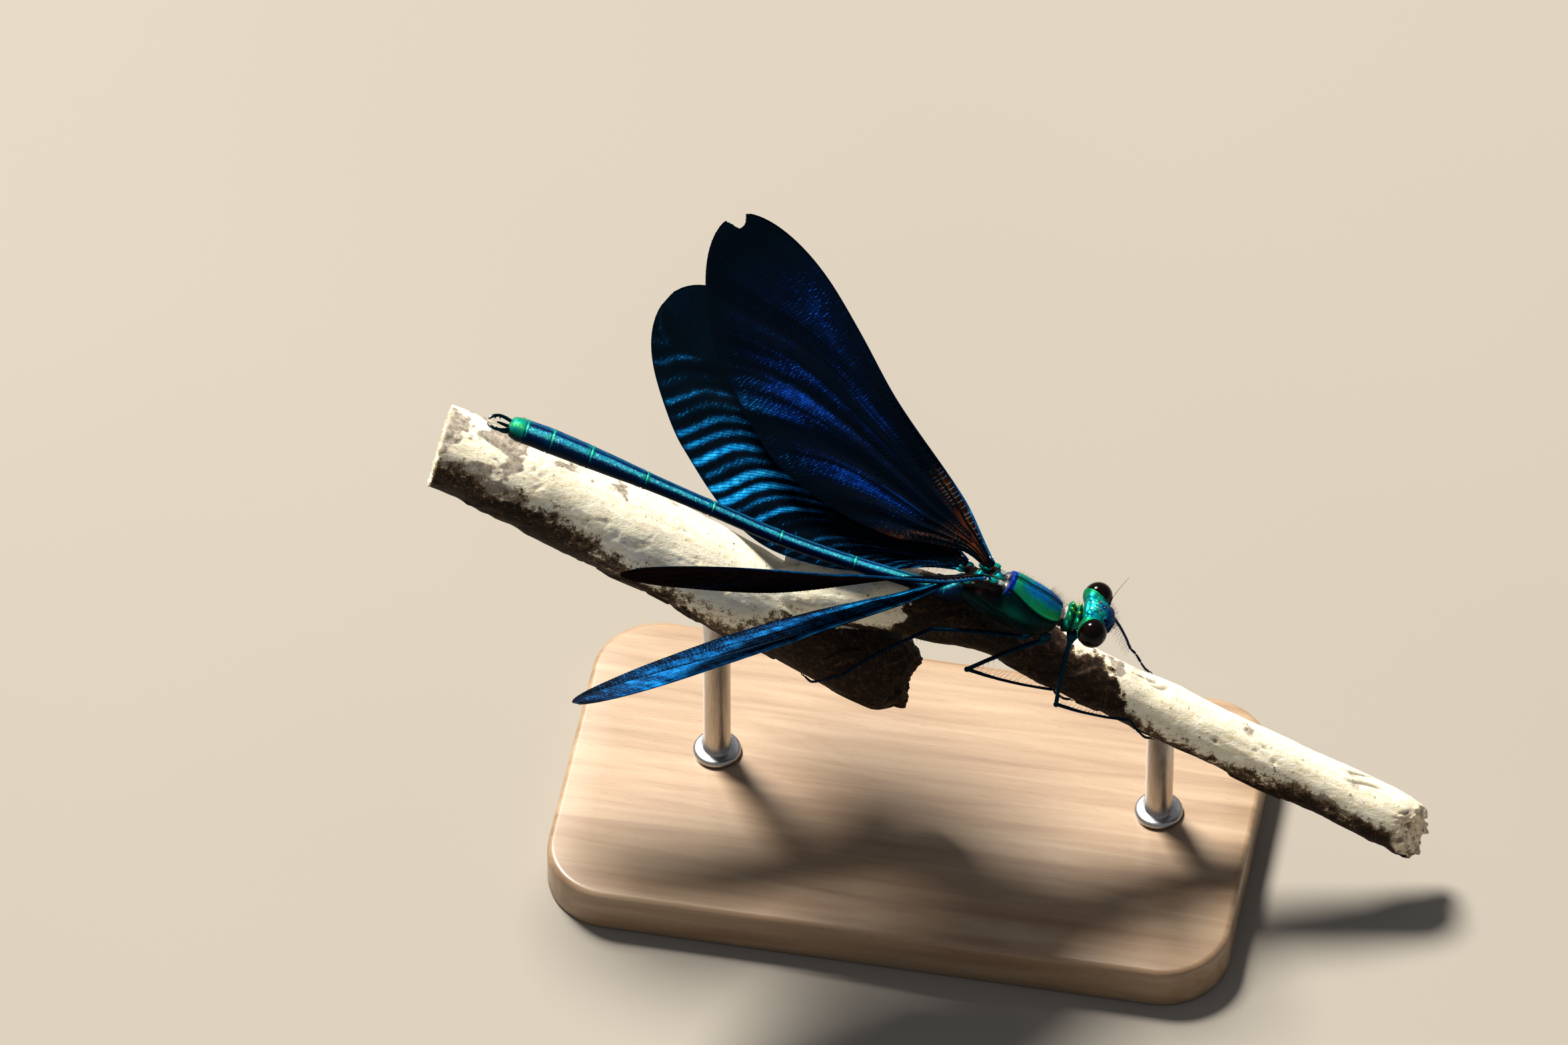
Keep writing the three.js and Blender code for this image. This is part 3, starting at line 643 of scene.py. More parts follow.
def veins(name):
    """The veins as thin bars: long ones that fan out to the trailing edge, and short ones across."""
    wing = WINGS[name]
    bodies, marks, roots = [], {k: [] for k in ("blue", "cyan", "brown", "upper")}, []

    def lay(t, s, radius, sides=5, both=False, bright=0.35):
        """One long vein; both makes its underside as bright as its top."""
        q = wing.vein_at(t, s)
        line = wing.place(t, s, pleat(wing, t, s, q))
        if name == "wing_fore_left":
            keep = ~in_notch(wing, line)
            stop = len(keep) if keep.all() else int(np.argmin(keep))
            if stop < 3:
                return
            t, s, q, line, radius = t[:stop], s[:stop], q[:stop], line[:stop], radius[:stop]
        rings = tube_rings(line, radius, sides, wing.upper)
        points, faces = capped_grid(rings)
        blue, cyan, _ = glow(name, t, s, q, line)
        for key, value in (("blue", blue * bright), ("cyan", cyan), ("brown", 0 * blue)):
            marks[key].append(np.concatenate([np.repeat(value, sides), [value[0], value[-1]]]))
        facing = ((rings - line[:, None]) @ wing.upper > 0) | both
        marks["upper"].append(np.concatenate([facing.ravel().astype(float), [0.5, 0.5]]))
        roots.append(np.concatenate([np.repeat(np.stack([t, s], -1), sides, 0),
                                     [[t[0], s[0]], [t[-1], s[-1]]]]))
        bodies.append((points, faces))

    def thin(t, at_root, at_end):
        return at_root + (at_end - at_root) * np.linspace(0, 1, len(t)) ** 0.8

    full = np.linspace(0.004, 0.997, 110)
    lay(full, 0 * full, thin(full, 0.1, 0.05), 7, True, 1.0)
    at_tip = np.where(full < 0.97, 1, (1 - full) / 0.03)
    lay(full, wing.strip(full) * at_tip, thin(full, 0.085, 0.03), 7, False, 0.8)
    before = np.linspace(0.01, NODUS, 60)
    lay(before, wing.strip(before) * 0.5 * (1 - smooth(NODUS - 0.02, NODUS, before)),
        thin(before, 0.06, 0.045), 5)

    def level(k):
        """The order of vein k: the lower the number, the later it starts."""
        return 8 if k % 8 == 0 else 4 if k % 4 == 0 else 2 if k % 2 == 0 else 1

    def end_of(k):
        return 1 - 0.95 * (k / ENDINGS)

    def start_of(k):
        first = VEIN_STARTS[level(k)] if k % 24 == 0 or level(k) < 8 else 0.1 + 0.07 * (k % 16 > 0)
        return max(first * end_of(k), 0.012)

    def on_field(t, f):
        ahead = wing.strip(t)
        return np.clip(ahead + (1 - ahead) * f, 0, 0.9995)

    for k in range(ENDINGS + 1):
        first, last = start_of(k), min(end_of(k), 0.996)
        if last - first < 0.01:
            continue
        t = np.linspace(first, last, max(6, int((last - first) * 90)))
        sides = 5 if level(k) == 8 else 4
        lay(t, on_field(t, wing.sweep(t, k / ENDINGS)), thin(t, VEIN_SIZES[level(k)], VEIN_TIP), sides)
    branches = []
    for j in range(9):
        first = 0.1 + 0.085 * j
        t = np.linspace(first, 0.992, max(8, int((1 - first) * 70)))
        share = (1 - (j + 1) / 10) * smooth(0, 1, (t - first) / (1.05 - first)) ** 0.55
        lay(t, on_field(t, wing.sweep(t, 0.0) * share), thin(t, 0.04, VEIN_TIP), 4)
        branches.append((first, 1 - (j + 1) / 10))

    # Cross veins, as the two ends (t, s) of each.
    pairs = []

    def rungs(first, last, upper_line, lower_line, apart, seed):
        """A row of cross veins between two long ones."""
        count = int((last - first) * wing.length / apart)
        if count < 1:
            return
        jitter = scatter(np.arange(count), seed) * 0.5
        t = first + (np.arange(count) + 0.25 + jitter) * apart / wing.length
        t = t[t < last]
        pairs.append(np.stack([t, upper_line(t), t, lower_line(t)], -1))

    for step in (8, 4, 2, 1):
        for k in range(0, ENDINGS + 1 - step, step):
            first = max(start_of(k), start_of(k + step))
            last = end_of(k + step) if step == 1 else min(start_of(k + step // 2), end_of(k + step))
            rungs(max(first, 0.02), min(last, 0.985), lambda t, k=k: on_field(t, wing.sweep(t, k / ENDINGS)),
                  lambda t, k=k: on_field(t, wing.sweep(t, (k + step) / ENDINGS)), CROSS_GAP, k * 16 + step)

    def branch(j):
        if j < 0:
            return lambda t: on_field(t, wing.sweep(t, 0.0))
        if j > 8:
            return wing.strip
        first, share = branches[j]

        def line(t):
            return on_field(t, wing.sweep(t, 0.0) * share
                            * smooth(0, 1, (t - first) / (1.05 - first)) ** 0.55)
        return line

    for j in range(-1, 9):
        first = 0.06 if j < 0 else branches[j][0]
        middle = branches[j + 1][0] if j < 8 else 0.97
        rungs(first + 0.01, middle, branch(j), branch(9), CROSS_GAP_FRONT, 900 + j)
        if j < 8:
            rungs(middle, 0.97, branch(j), branch(j + 1), CROSS_GAP_FRONT, 950 + j)
    rungs(0.03, NODUS, lambda t: 0 * t, wing.strip, 0.42, 990)
    rungs(NODUS, 0.965, lambda t: 0 * t, wing.strip, 0.5, 991)
    ends = np.concatenate(pairs)
    ta, sa, tb, sb = ends.T
    a = wing.place(ta, sa)
    spread = np.linalg.norm(wing.place(tb, sb) - a, axis=1)
    keep = (spread > 0.06) & (scatter(np.arange(len(ends)), 7) > 0.03)
    ta, sa, tb, sb = ends[keep].T
    qa, qb = wing.vein_at(ta, sa), wing.vein_at(tb, sb)
    a = wing.place(ta, sa, pleat(wing, ta, sa, qa))
    b = wing.place(tb, sb, pleat(wing, tb, sb, qb))
    if name == "wing_fore_left":
        keep = ~(in_notch(wing, a) | in_notch(wing, b))
        ta, sa, tb, sb, qa, qb, a, b = (v[keep] for v in (ta, sa, tb, sb, qa, qb, a, b))
    radius = CROSS_VEIN + 0.006 * (sa < 0.02) * (ta < 0.25)
    points, faces = prisms(a, b, radius, radius, wing.upper, 4)
    bodies.append((points, faces))
    # Each cross vein's blue is raised at random, as painted glints.
    for key, va, vb in zip(("blue", "cyan", "brown"), glow(name, ta, sa, qa, a), glow(name, tb, sb, qb, b)):
        lift = 1.1 + 2.6 * scatter(np.arange(len(va)), 3) ** 2 if key == "blue" else 1.0
        marks[key].append(np.clip(np.repeat(np.stack([va * lift, vb * lift], 1).ravel(), 4), 0, 1))
    marks["upper"].append(np.tile([1, 0.5, 0, 0.5], 2 * len(a)))
    roots.append(np.repeat(np.stack([ta, sa, tb, sb], -1).reshape(-1, 2), 4, 0))
    points, faces = gather(bodies)
    return points, faces, {k: np.concatenate(v) for k, v in marks.items()}, np.concatenate(roots)


def wing_paint(name, of_veins):
    """Blue over near black on the upper side, brown below; the veins' brown is lighter. The blue holds the
    painted glints and sheen of the wing.
    """
    paint = Paint(name, Roughness=0.4, Specular_IOR_Level=0.0)
    fleck = paint.noise(2.2, 4, 0.6)
    strength = paint.times(paint.mark("blue"), paint.ramp(fleck, [(0.25, 0.6), (0.75, 1.2)]))
    dark = (0.0008, 0.0026, 0.005)
    royal = paint.ramp(strength, [(0.0, dark), (0.2, (0.001, 0.0035, 0.014)), (0.45, (0.0012, 0.008, 0.08)),
                                  (0.75, (0.003, 0.03, 0.34)), (1.0, (0.01, 0.12, 0.8))])
    azure = paint.ramp(strength, [(0.0, dark), (0.2, (0.0008, 0.006, 0.014)), (0.45, (0.002, 0.07, 0.2)),
                                  (0.75, (0.005, 0.26, 0.6)), (1.0, (0.03, 0.5, 0.9))])
    upper = paint.mix(paint.mark("cyan"), royal, azure)
    if of_veins:
        amber = paint.between(paint.noise(1.2, 2), (0.04, 0.12, 0.15), (0.13, 0.28, 0.32))
    else:
        amber = paint.between(paint.noise(1.2, 3), (0.022, 0.005, 0.001), (0.11, 0.026, 0.005))
    upper = paint.mix(paint.times(paint.mark("brown"), 0.9), upper, amber)
    under = paint.between(paint.noise(0.9, 4, 0.6), (0.002, 0.0015, 0.002), (0.012, 0.005, 0.003))
    paint.colour(paint.mix(paint.mark("upper"), under, upper))
    paint.put(paint.shader.inputs["Metallic"], paint.times(paint.mark("upper"), 0.22))
    paint.rough(fleck, 0.32, 0.5)
    paint.bump(paint.noise(9, 3, 0.6), 0.012, 0.6)
    if not of_veins:
        paint.bump(paint.cells(5.5, "DISTANCE_TO_EDGE"), 0.01, 0.35)
    return paint.material


def make_wings():
    """The membrane and the veins of each wing."""
    skin, line = wing_paint("wing_membrane", False), wing_paint("wing_veins", True)
    for name in WINGS:
        points, faces, marks = membrane(name)
        piece(name + "_membrane", points, faces, skin, [name], marks=marks)
        points, faces, marks, roots = veins(name)
        piece(name + "_veins", points, faces, line, marks=marks,
              bake_at=0.01 + 0.98 * roots + fan(len(roots)))


# ---- the insect's skin

NEAR_BLACK = (0.0008, 0.003, 0.006)
TONES = [(0.0, (0.005, 0.04, 0.5)), (0.18, (0.004, 0.12, 0.58)), (0.36, (0.004, 0.33, 0.55)),
         (0.55, (0.005, 0.4, 0.31)), (0.75, (0.012, 0.44, 0.13)), (0.88, (0.09, 0.55, 0.06)),
         (1.0, (0.5, 0.68, 0.05))]


def cuticle_paint(name, grain=10.0, grain_bump=0.012, gloss=(0.22, 0.4), speckle=0.5, metal=0.8,
                  pale_tones=((0.6, 0.48, 0.45), (0.85, 0.85, 0.8)), dotted=False):
    """Metallic skin: tone runs from royal blue to yellow-green, shade from near black to bright, partly the
    skin's own darkness and partly painted light and shade; flesh is the red-brown skin between plates and
    pale is whitish, or the painted cyan sparkle highlights of the tail."""
    paint = Paint(name, Roughness=0.3, Specular_IOR_Level=0.2, Specular_Tint=(0.1, 0.4, 0.5, 1))
    drift = paint.between(paint.noise(1.6, 3), 0.0, 1.0)
    tone = paint.sums("ADD", paint.mark("tone"), paint.spread(drift, 0.5, 0.12), True)
    dots = paint.cells(grain)
    lit = paint.times(paint.mark("shade"),
                      paint.ramp(dots, [(0.1, 1.0 + speckle * 0.6), (0.55, 1 - speckle * 0.5)]))
    colour = paint.mix(lit, NEAR_BLACK, paint.ramp(tone, TONES))
    # Bright cells where the shade mark is high are painted glints.
    painted_glints = paint.ramp(paint.cells(grain * 0.55), [(0.03, 0.8), (0.09, 0.0)])
    painted_glints = paint.times(painted_glints, paint.ramp(paint.mark("shade"), [(0.45, 0.0), (0.8, 1.0)]))
    colour = paint.mix(painted_glints, colour, paint.ramp(tone, [(0.2, (0.3, 0.5, 0.95)), (0.6, (0.4, 0.95, 0.75))]))
    flesh = paint.ramp(paint.noise(5, 3),
                       [(0.35, (0.003, 0.001, 0.001)), (0.6, (0.016, 0.003, 0.002)),
                        (0.8, (0.08, 0.02, 0.015))])
    pale = paint.between(paint.noise(6, 2), pale_tones[0], pale_tones[1])
    colour = paint.mix(paint.mark("flesh"), colour, flesh)
    share = paint.mark("pale")
    if dotted:
        share = paint.times(share, paint.ramp(paint.cells(9), [(0.3, 1.0), (0.55, 0.12)]))
    colour = paint.mix(share, colour, pale)
    paint.colour(colour)
    bare = paint.sums("MAXIMUM", paint.mark("flesh"), paint.mark("pale"))
    paint.put(paint.shader.inputs["Metallic"], paint.sums("SUBTRACT", metal, paint.times(bare, metal), True))
    paint.rough(paint.noise(4, 3), *gloss)
    paint.bump(dots, grain_bump, 0.8)
    paint.bump(paint.noise(grain * 2.2, 2), grain_bump * 0.6, 0.6)
    return paint.material


def blank(points, **given):
    """The marks of a skin, each 0 or the number given."""
    return {k: np.zeros(len(points)) + given.get(k, 0) for k in ("tone", "shade", "flesh", "pale")}


def ringed(name, rings, values, skin, replaces):
    """A skin on rings of points; values holds a mark for each of their points."""
    points, faces = capped_grid(rings)
    marks = blank(points)
    for mark, given in values.items():
        marks[mark][:-2] = np.broadcast_to(given, rings.shape[:2]).ravel()
    piece(name, points, faces, skin, replaces, marks=marks)


def ring_points(x, angle, lift, top, bottom, wide, roof):
    """Points of a trunk section; angle 90 degrees is the back. roof narrows the upper side."""
    tall, middle = (top(x) - bottom(x)) / 2, (top(x) + bottom(x)) / 2
    up = np.sin(angle)
    return np.stack([x + 0 * angle, (wide(x) + lift) * np.cos(angle) * (1 - roof * np.maximum(up, 0) ** 2),
                     middle + (tall + lift) * up], -1)


def from_back(angle):
    """Degrees round from the middle of the back, on either side."""
    return np.degrees(np.abs((angle - math.pi / 2 + math.pi) % TAU - math.pi))


def round_off(x, first, last, reach):
    """How far a shell has closed in at its two ends."""
    near = np.clip(np.minimum(x - first, last - x) / reach, 0, 1)
    return np.sqrt(np.maximum(1 - (1 - near) ** 2, 0))


def closed_in(rings, share):
    """Rings drawn in towards their middles."""
    middle = rings.mean(1, keepdims=True)
    out = rings.copy()
    out[..., 1:] = middle[..., 1:] + (rings - middle)[..., 1:] * share[..., None]
    return out


def skin_normals(rings):
    """Outward directions of a grid of rings, (rows, columns, 3)."""
    along = np.gradient(rings, axis=0)
    across = np.roll(rings, -1, 1) - np.roll(rings, 1, 1)
    normal = unit(np.cross(along, across))
    outward = rings - rings.mean(1, keepdims=True)
    return normal * np.sign((normal * outward).sum(-1).sum() or 1)


def hairs(name, roots, ways, lengths, base, material, bake_at, bend=(0, 0, 0), where=display, steps=3):
    """Fine solid bristles, each a thin bent cone."""
    roots, ways = np.asarray(roots, float), unit(ways)
    lengths = np.broadcast_to(lengths, len(roots))
    base = np.broadcast_to(base, len(roots))
    bend = np.broadcast_to(bend, roots.shape)
    side = unit(np.cross(ways, [0.31, 0.77, 0.55]))
    other = np.cross(ways, side)
    share = np.linspace(0, 1, steps + 1)
    angles = circle(3)
    across = np.cos(angles)[None, :, None] * side[:, None] + np.sin(angles)[None, :, None] * other[:, None]
    middle = (roots[:, None] + ways[:, None] * lengths[:, None, None] * share[None, :, None]
              + bend[:, None] * lengths[:, None, None] * (share ** 2)[None, :, None])
    size = base[:, None] * (1 - 0.9 * share[None])
    points = (middle[:, :, None] + across[:, None] * size[:, :, None, None]).reshape(-1, 3)
    per = 3 * (steps + 1)
    start = np.arange(len(roots))[:, None, None] * per
    walls = grid_faces(steps + 1, 3)[None] + start
    ends = np.array([[2, 1, 0], [per - 3, per - 2, per - 1]])[None] + start
    spots = (np.asarray(bake_at)[:, None] + fan(per)[None]).reshape(-1, 2)
    return piece(name, points, [walls.reshape(-1, 4), ends.reshape(-1, 3)], material, where=where,
                 bake_at=spots)


def picks(mask, count, seed):
    """Some of the places where mask is true, always the same ones."""
    index = np.flatnonzero(mask)
    order = np.argsort(scatter(index, seed))
    return index[order[:count]]


THORAX = dict(
    top=profile([[-5.3, 0.75], [-4.6, 1.5], [-3.4, 2.05], [-2.3, 2.3], [-1.8, 2.75], [-0.4, 2.4], [0.8, 2.05],
                 [1.8, 1.55], [2.3, 1.15]]),
    bottom=profile([[-5.3, -0.75], [-4.4, -1.15], [-3, -1.5], [-1.5, -1.8], [0, -2], [1.1, -1.85],
                    [1.9, -1.25], [2.3, -0.5]]),
    wide=profile([[-5.3, 0.72], [-4.6, 1.15], [-3.4, 1.55], [-1.8, 1.8], [-0.4, 1.85], [0.8, 1.65],
                  [1.8, 1.2], [2.3, 0.75]]),
    roof=0.34)


HAIR, FINE_HAIR, SPINE = 0.0065, 0.006, 0.016  # radii at the root, millimetres


def make_thorax(skin, hair):
    """The synthorax: the front's ridges and bands, the side seams and the soft hollow of the wing roots."""
    first, last = -5.36, 2.36
    x, angle = surface(np.linspace(first, last, 330), 250)
    inside = np.clip(x, -5.3, 2.3)
    phi = from_back(angle)
    right = np.cos(angle) < 0
    humeral = 43 + 8.2 * (inside + 1.5)
    share = phi / humeral
    on_front = smooth(-2.15, -1.75, x) * (1 - smooth(2.0, 2.3, x))
    rough = ring_points(inside, angle, 0, **THORAX)
    carina = bell(phi, 4.5) * on_front
    beside = bell(phi - 11, 4) * on_front
    groove = bell(phi - humeral, 4.2) * smooth(-2.5, -2.0, x) * (1 - smooth(1.9, 2.2, x))
    second = bell(phi - (78 + 11 * (x + 3.2)), 3.4) * smooth(-3.8, -3.2, x) * (1 - smooth(0.4, 1.0, x))
    third = bell(phi - (100 + 9 * (x + 4.2)), 3.4) * smooth(-4.8, -4.2, x) * (1 - smooth(-0.9, -0.3, x))
    crest_line = -1.93 - 0.25 * (phi / 40) ** 2
    crest = bell(x - crest_line, 0.13) * (1 - smooth(34, 50, phi))
    sunk = smooth(0.12, 0.4, crest_line - x) * (1 - smooth(44, 66, phi)) * smooth(-5.25, -4.95, x)
    shield = bell((x + 2.95) / 0.4, 1) * bell(phi, 17) + bell((x + 4.35) / 0.36, 1) * bell(phi, 17)
    shoulders = (0.75 * bell(phi - 24, 15) * bell(x + 3.45, 0.62)
                 + 0.8 * bell(phi - 28, 16) * bell(x + 4.9, 0.42)
                 + 0.3 * bell(phi - 28, 18) * bell(x + 4.2, 0.5))
    striae = (np.sin(TAU * (x + 0.05 * noise(rough, 0.5, 31)) / 0.13) * smooth(0.06, 0.25, share)
              * (1 - smooth(0.9, 1.0, share)) * on_front)
    lift = (0.1 * carina - 0.05 * beside - 0.1 * groove - 0.08 * second - 0.07 * third
            + 0.2 * crest - 0.2 * sunk + 0.3 * shield * sunk + 0.007 * striae
            + 0.05 * np.sin(np.pi * np.clip(share, 0, 1)) * on_front + shoulders
            + sunk * (0.1 * noise(rough, 0.5, 33) + 0.05 * noise(rough, 0.2, 34))
            + 0.012 * noise(rough, 0.6, 35))
    rings = ring_points(inside, angle, lift, **THORAX)
    rings[..., 0] = x
    rings = closed_in(rings, round_off(x, first, last, 0.3))

    band = smooth(0.0, 0.08, share) * (1 - smooth(0.9, 1.02, share)) * on_front
    tone_right = (0.27 + 0.4 * smooth(0.4, 0.72, share)
                  + 0.06 * smooth(0.62, 0.85, share) * smooth(-0.6, 1.2, x))
    tone_right = np.where(x < -0.7, tone_right + (0.66 - tone_right) * smooth(-0.7, -1.4, x), tone_right)
    tone_left = 0.24 + 0.3 * smooth(0.0, -1.0, x) + 0.3 * smooth(0.6, 0.9, share)
    tone = np.where(right, tone_right, tone_left)
    tone = np.where(share > 1, 0.6 + 0.05 * noise(rough, 1.0, 36), tone)
    tone = tone * (1 - np.clip(crest + 0.8 * (x < -1.7) * (x > -2.3) * (phi < 50), 0, 1))
    # Painted light and shade: the front band is bright partly as a painted highlight and a little darker on
    # the left side, and the side below the humeral seam is painted dark shade, darker still towards the
    # underside.
    patch = bell((x + 1.2) / 0.9, 1) * bell(phi - 76, 13)
    side_shade = 0.02 + 0.14 * patch + 0.03 * noise(rough, 1.4, 37) - 0.06 * smooth(110, 150, phi)
    shade = np.where(share > 1, side_shade, np.where(right, 1.0, 0.9) * band + 0.1)
    shade = shade * (1 - 0.85 * np.clip(groove + second + third, 0, 1)) * (1 - 0.85 * bell(phi, 5) * on_front)
    shade = np.maximum(shade, crest + 0.7 * shield * sunk)
    flesh = np.clip(sunk * (1 - 1.4 * shield) + 0.5 * smooth(-2.4, -2.9, x) * bell(phi - 60, 12)
                    * smooth(-5.2, -4.6, x), 0, 1)
    pale = (0.9 * smooth(2.14, 2.22, x) * (1 - smooth(60, 85, phi))
            + 0.6 * bell(x + 2.35, 0.14) * bell(phi - 22, 10))
    values = {"tone": np.clip(tone - 0.12 * shield * sunk, 0, 1), "shade": np.clip(shade, 0.02, 1),
              "flesh": flesh * (1 - crest), "pale": pale}
    ringed("synthorax_skin", rings, values, skin, ["synthorax"])

    normals = skin_normals(rings).reshape(-1, 3)
    place = rings.reshape(-1, 3)
    at = np.stack([(x.ravel() - first) / (last - first), angle.ravel() / TAU], -1) * 0.98 + 0.01
    back = picks((x > -1.7) & (phi < 40), 420, 41)
    front = picks((x > 0.9) & (x < 2.25) & (phi < 100), 240, 42)
    under = picks((phi > 95) & (x > -4.8), 650, 43)
    chosen = np.concatenate([back, front, under])
    lengths = np.concatenate([0.2 + 0.12 * scatter(back, 44), 0.42 + 0.25 * scatter(front, 44),
                              0.3 + 0.25 * scatter(under, 44)])
    lean = leans(chosen, 45)
    hairs("thorax_hairs", place[chosen] - normals[chosen] * 0.02, normals[chosen] + 0.5 * lean + [0.1, 0, 0],
          lengths, HAIR, hair, bend=lean * 0.3, bake_at=at[chosen])


PROTHORAX = dict(
    top=profile([[2.38, 1.15], [2.7, 1.68], [3.05, 1.42], [3.35, 1.66], [3.72, 1.25]]),
    bottom=profile([[2.38, -0.6], [2.8, -1], [3.3, -0.85], [3.72, 0.1]]),
    wide=profile([[2.38, 0.7], [2.75, 1.02], [3.1, 0.92], [3.4, 0.98], [3.72, 0.6]]),
    roof=0.2)


def make_prothorax(skin, hair):
    """The knobbly collar behind the head, and the neck."""
    first, last = 2.2, 3.78
    x, angle = surface(np.linspace(first, last, 130), 170)
    inside = np.clip(x, 2.38, 3.72)
    phi = from_back(angle)
    rough = ring_points(inside, angle, 0, **PROTHORAX)
    bend = phi + 9 * noise(rough, 0.7, 75)
    rear_humps = (bell(x - 2.86 - 0.06 * np.sin(bend / 14), 0.24)
                  * (bell(bend - 17, 9) + 0.9 * bell(bend - 44, 9) + 0.8 * bell(bend - 71, 9)))
    front_humps = (bell(x - 3.42 + 0.05 * np.sin(bend / 11), 0.19)
                   * (bell(bend - 27, 10) + 0.9 * bell(bend - 57, 9) + 0.6 * bell(bend - 84, 9)))
    humps = rear_humps + front_humps
    rim = bell(x - 3.66, 0.045) + 0.6 * bell(x - 2.62, 0.05)
    waist = bell(x - 3.14, 0.07)
    lift = (0.3 * humps - 0.09 + 0.06 * rim - 0.1 * waist - 0.08 * bell(phi, 8)
            + 0.1 * noise(rough, 0.35, 51, 3)
            - 0.06 * (1 - smooth(2.5, 2.66, x)))
    rings = ring_points(inside, angle, lift, **PROTHORAX)
    rings[..., 0] = x
    rings = closed_in(rings, round_off(x, first, last, 0.1) * (1 - 0.1 * (1 - smooth(2.24, 2.5, x))))
    # The humps' tops carry painted highlights, yellow-green and bright; the waist and the underside are
    # painted darker shade.
    tone = 0.6 + 0.52 * humps ** 2 * bell(phi - 24, 30) + 0.14 * noise(rough, 0.4, 52)
    shade = (0.5 + 0.6 * humps - 0.3 * waist) * (1 - 0.9 * smooth(76, 108, phi))
    values = {"tone": np.clip(tone, 0, 1), "shade": np.clip(shade, 0.03, 1),
              "flesh": 0.9 * (1 - smooth(2.48, 2.56, x)) * smooth(50, 75, phi),
              "pale": (1 - smooth(2.49, 2.56, x)) * (1 - smooth(50, 75, phi))}
    ringed("prothorax_skin", rings, values, skin, ["prothorax"])
    normals = skin_normals(rings).reshape(-1, 3)
    chosen = picks((phi.ravel() < 100) & (x.ravel() > 2.5) & (x.ravel() < 3.7), 130, 53)
    lean = leans(chosen, 54)
    at = np.stack([(x.ravel() - first) / 1.6, angle.ravel() / TAU], -1) * 0.96 + 0.01
    place = rings.reshape(-1, 3)
    hairs("prothorax_hairs", place[chosen] - 0.02 * normals[chosen], normals[chosen] + 0.6 * lean,
          0.3 + 0.3 * scatter(chosen, 57), HAIR, hair, bend=lean * 0.3, bake_at=at[chosen])

    # The soft neck between the collar and the head, in rings of folds.
    line = np.linspace([3.62, 0, 0.98], [4.35, 0, 1.18], 46)
    radius = 0.42 + 0.035 * np.sin(TAU * np.linspace(0, 5, 46))
    rings = tube_rings(line, radius, 48)
    rings = rings + 0.02 * noise(rings, 0.2, 58)[..., None]
    points, faces = capped_grid(rings)
    marks = blank(points, flesh=0.9, shade=0.2)
    piece("neck_skin", points, faces, skin, ["neck"], marks=marks)


ABDOMEN_LINE = profile([[-39.6, 0.92], [-36.5, 0.76], [-33.5, 0.48], [-29.1, 0], [-24, -0.62],
                        [-18.6, -1.3], [-13, -1.42], [-10, -1.28], [-6.8, -1.12], [-5.8, -0.85],
                        [-4.9, -0.1]])
ABDOMEN_RADIUS = profile([[-39.6, 0.62], [-39.1, 0.8], [-38.4, 0.87], [-36.5, 0.9], [-34.5, 0.86],
                          [-31.5, 0.76], [-29.1, 0.64], [-26, 0.57], [-20, 0.54], [-12, 0.53],
                          [-8, 0.56], [-6.6, 0.68], [-5.8, 0.85], [-5, 0.98]])
SEGMENT_ENDS = [-5.38, -6.2, -7.6, -12.94, -18.58, -23.9, -29.1, -33.46, -36.45, -38.4, -39.5]


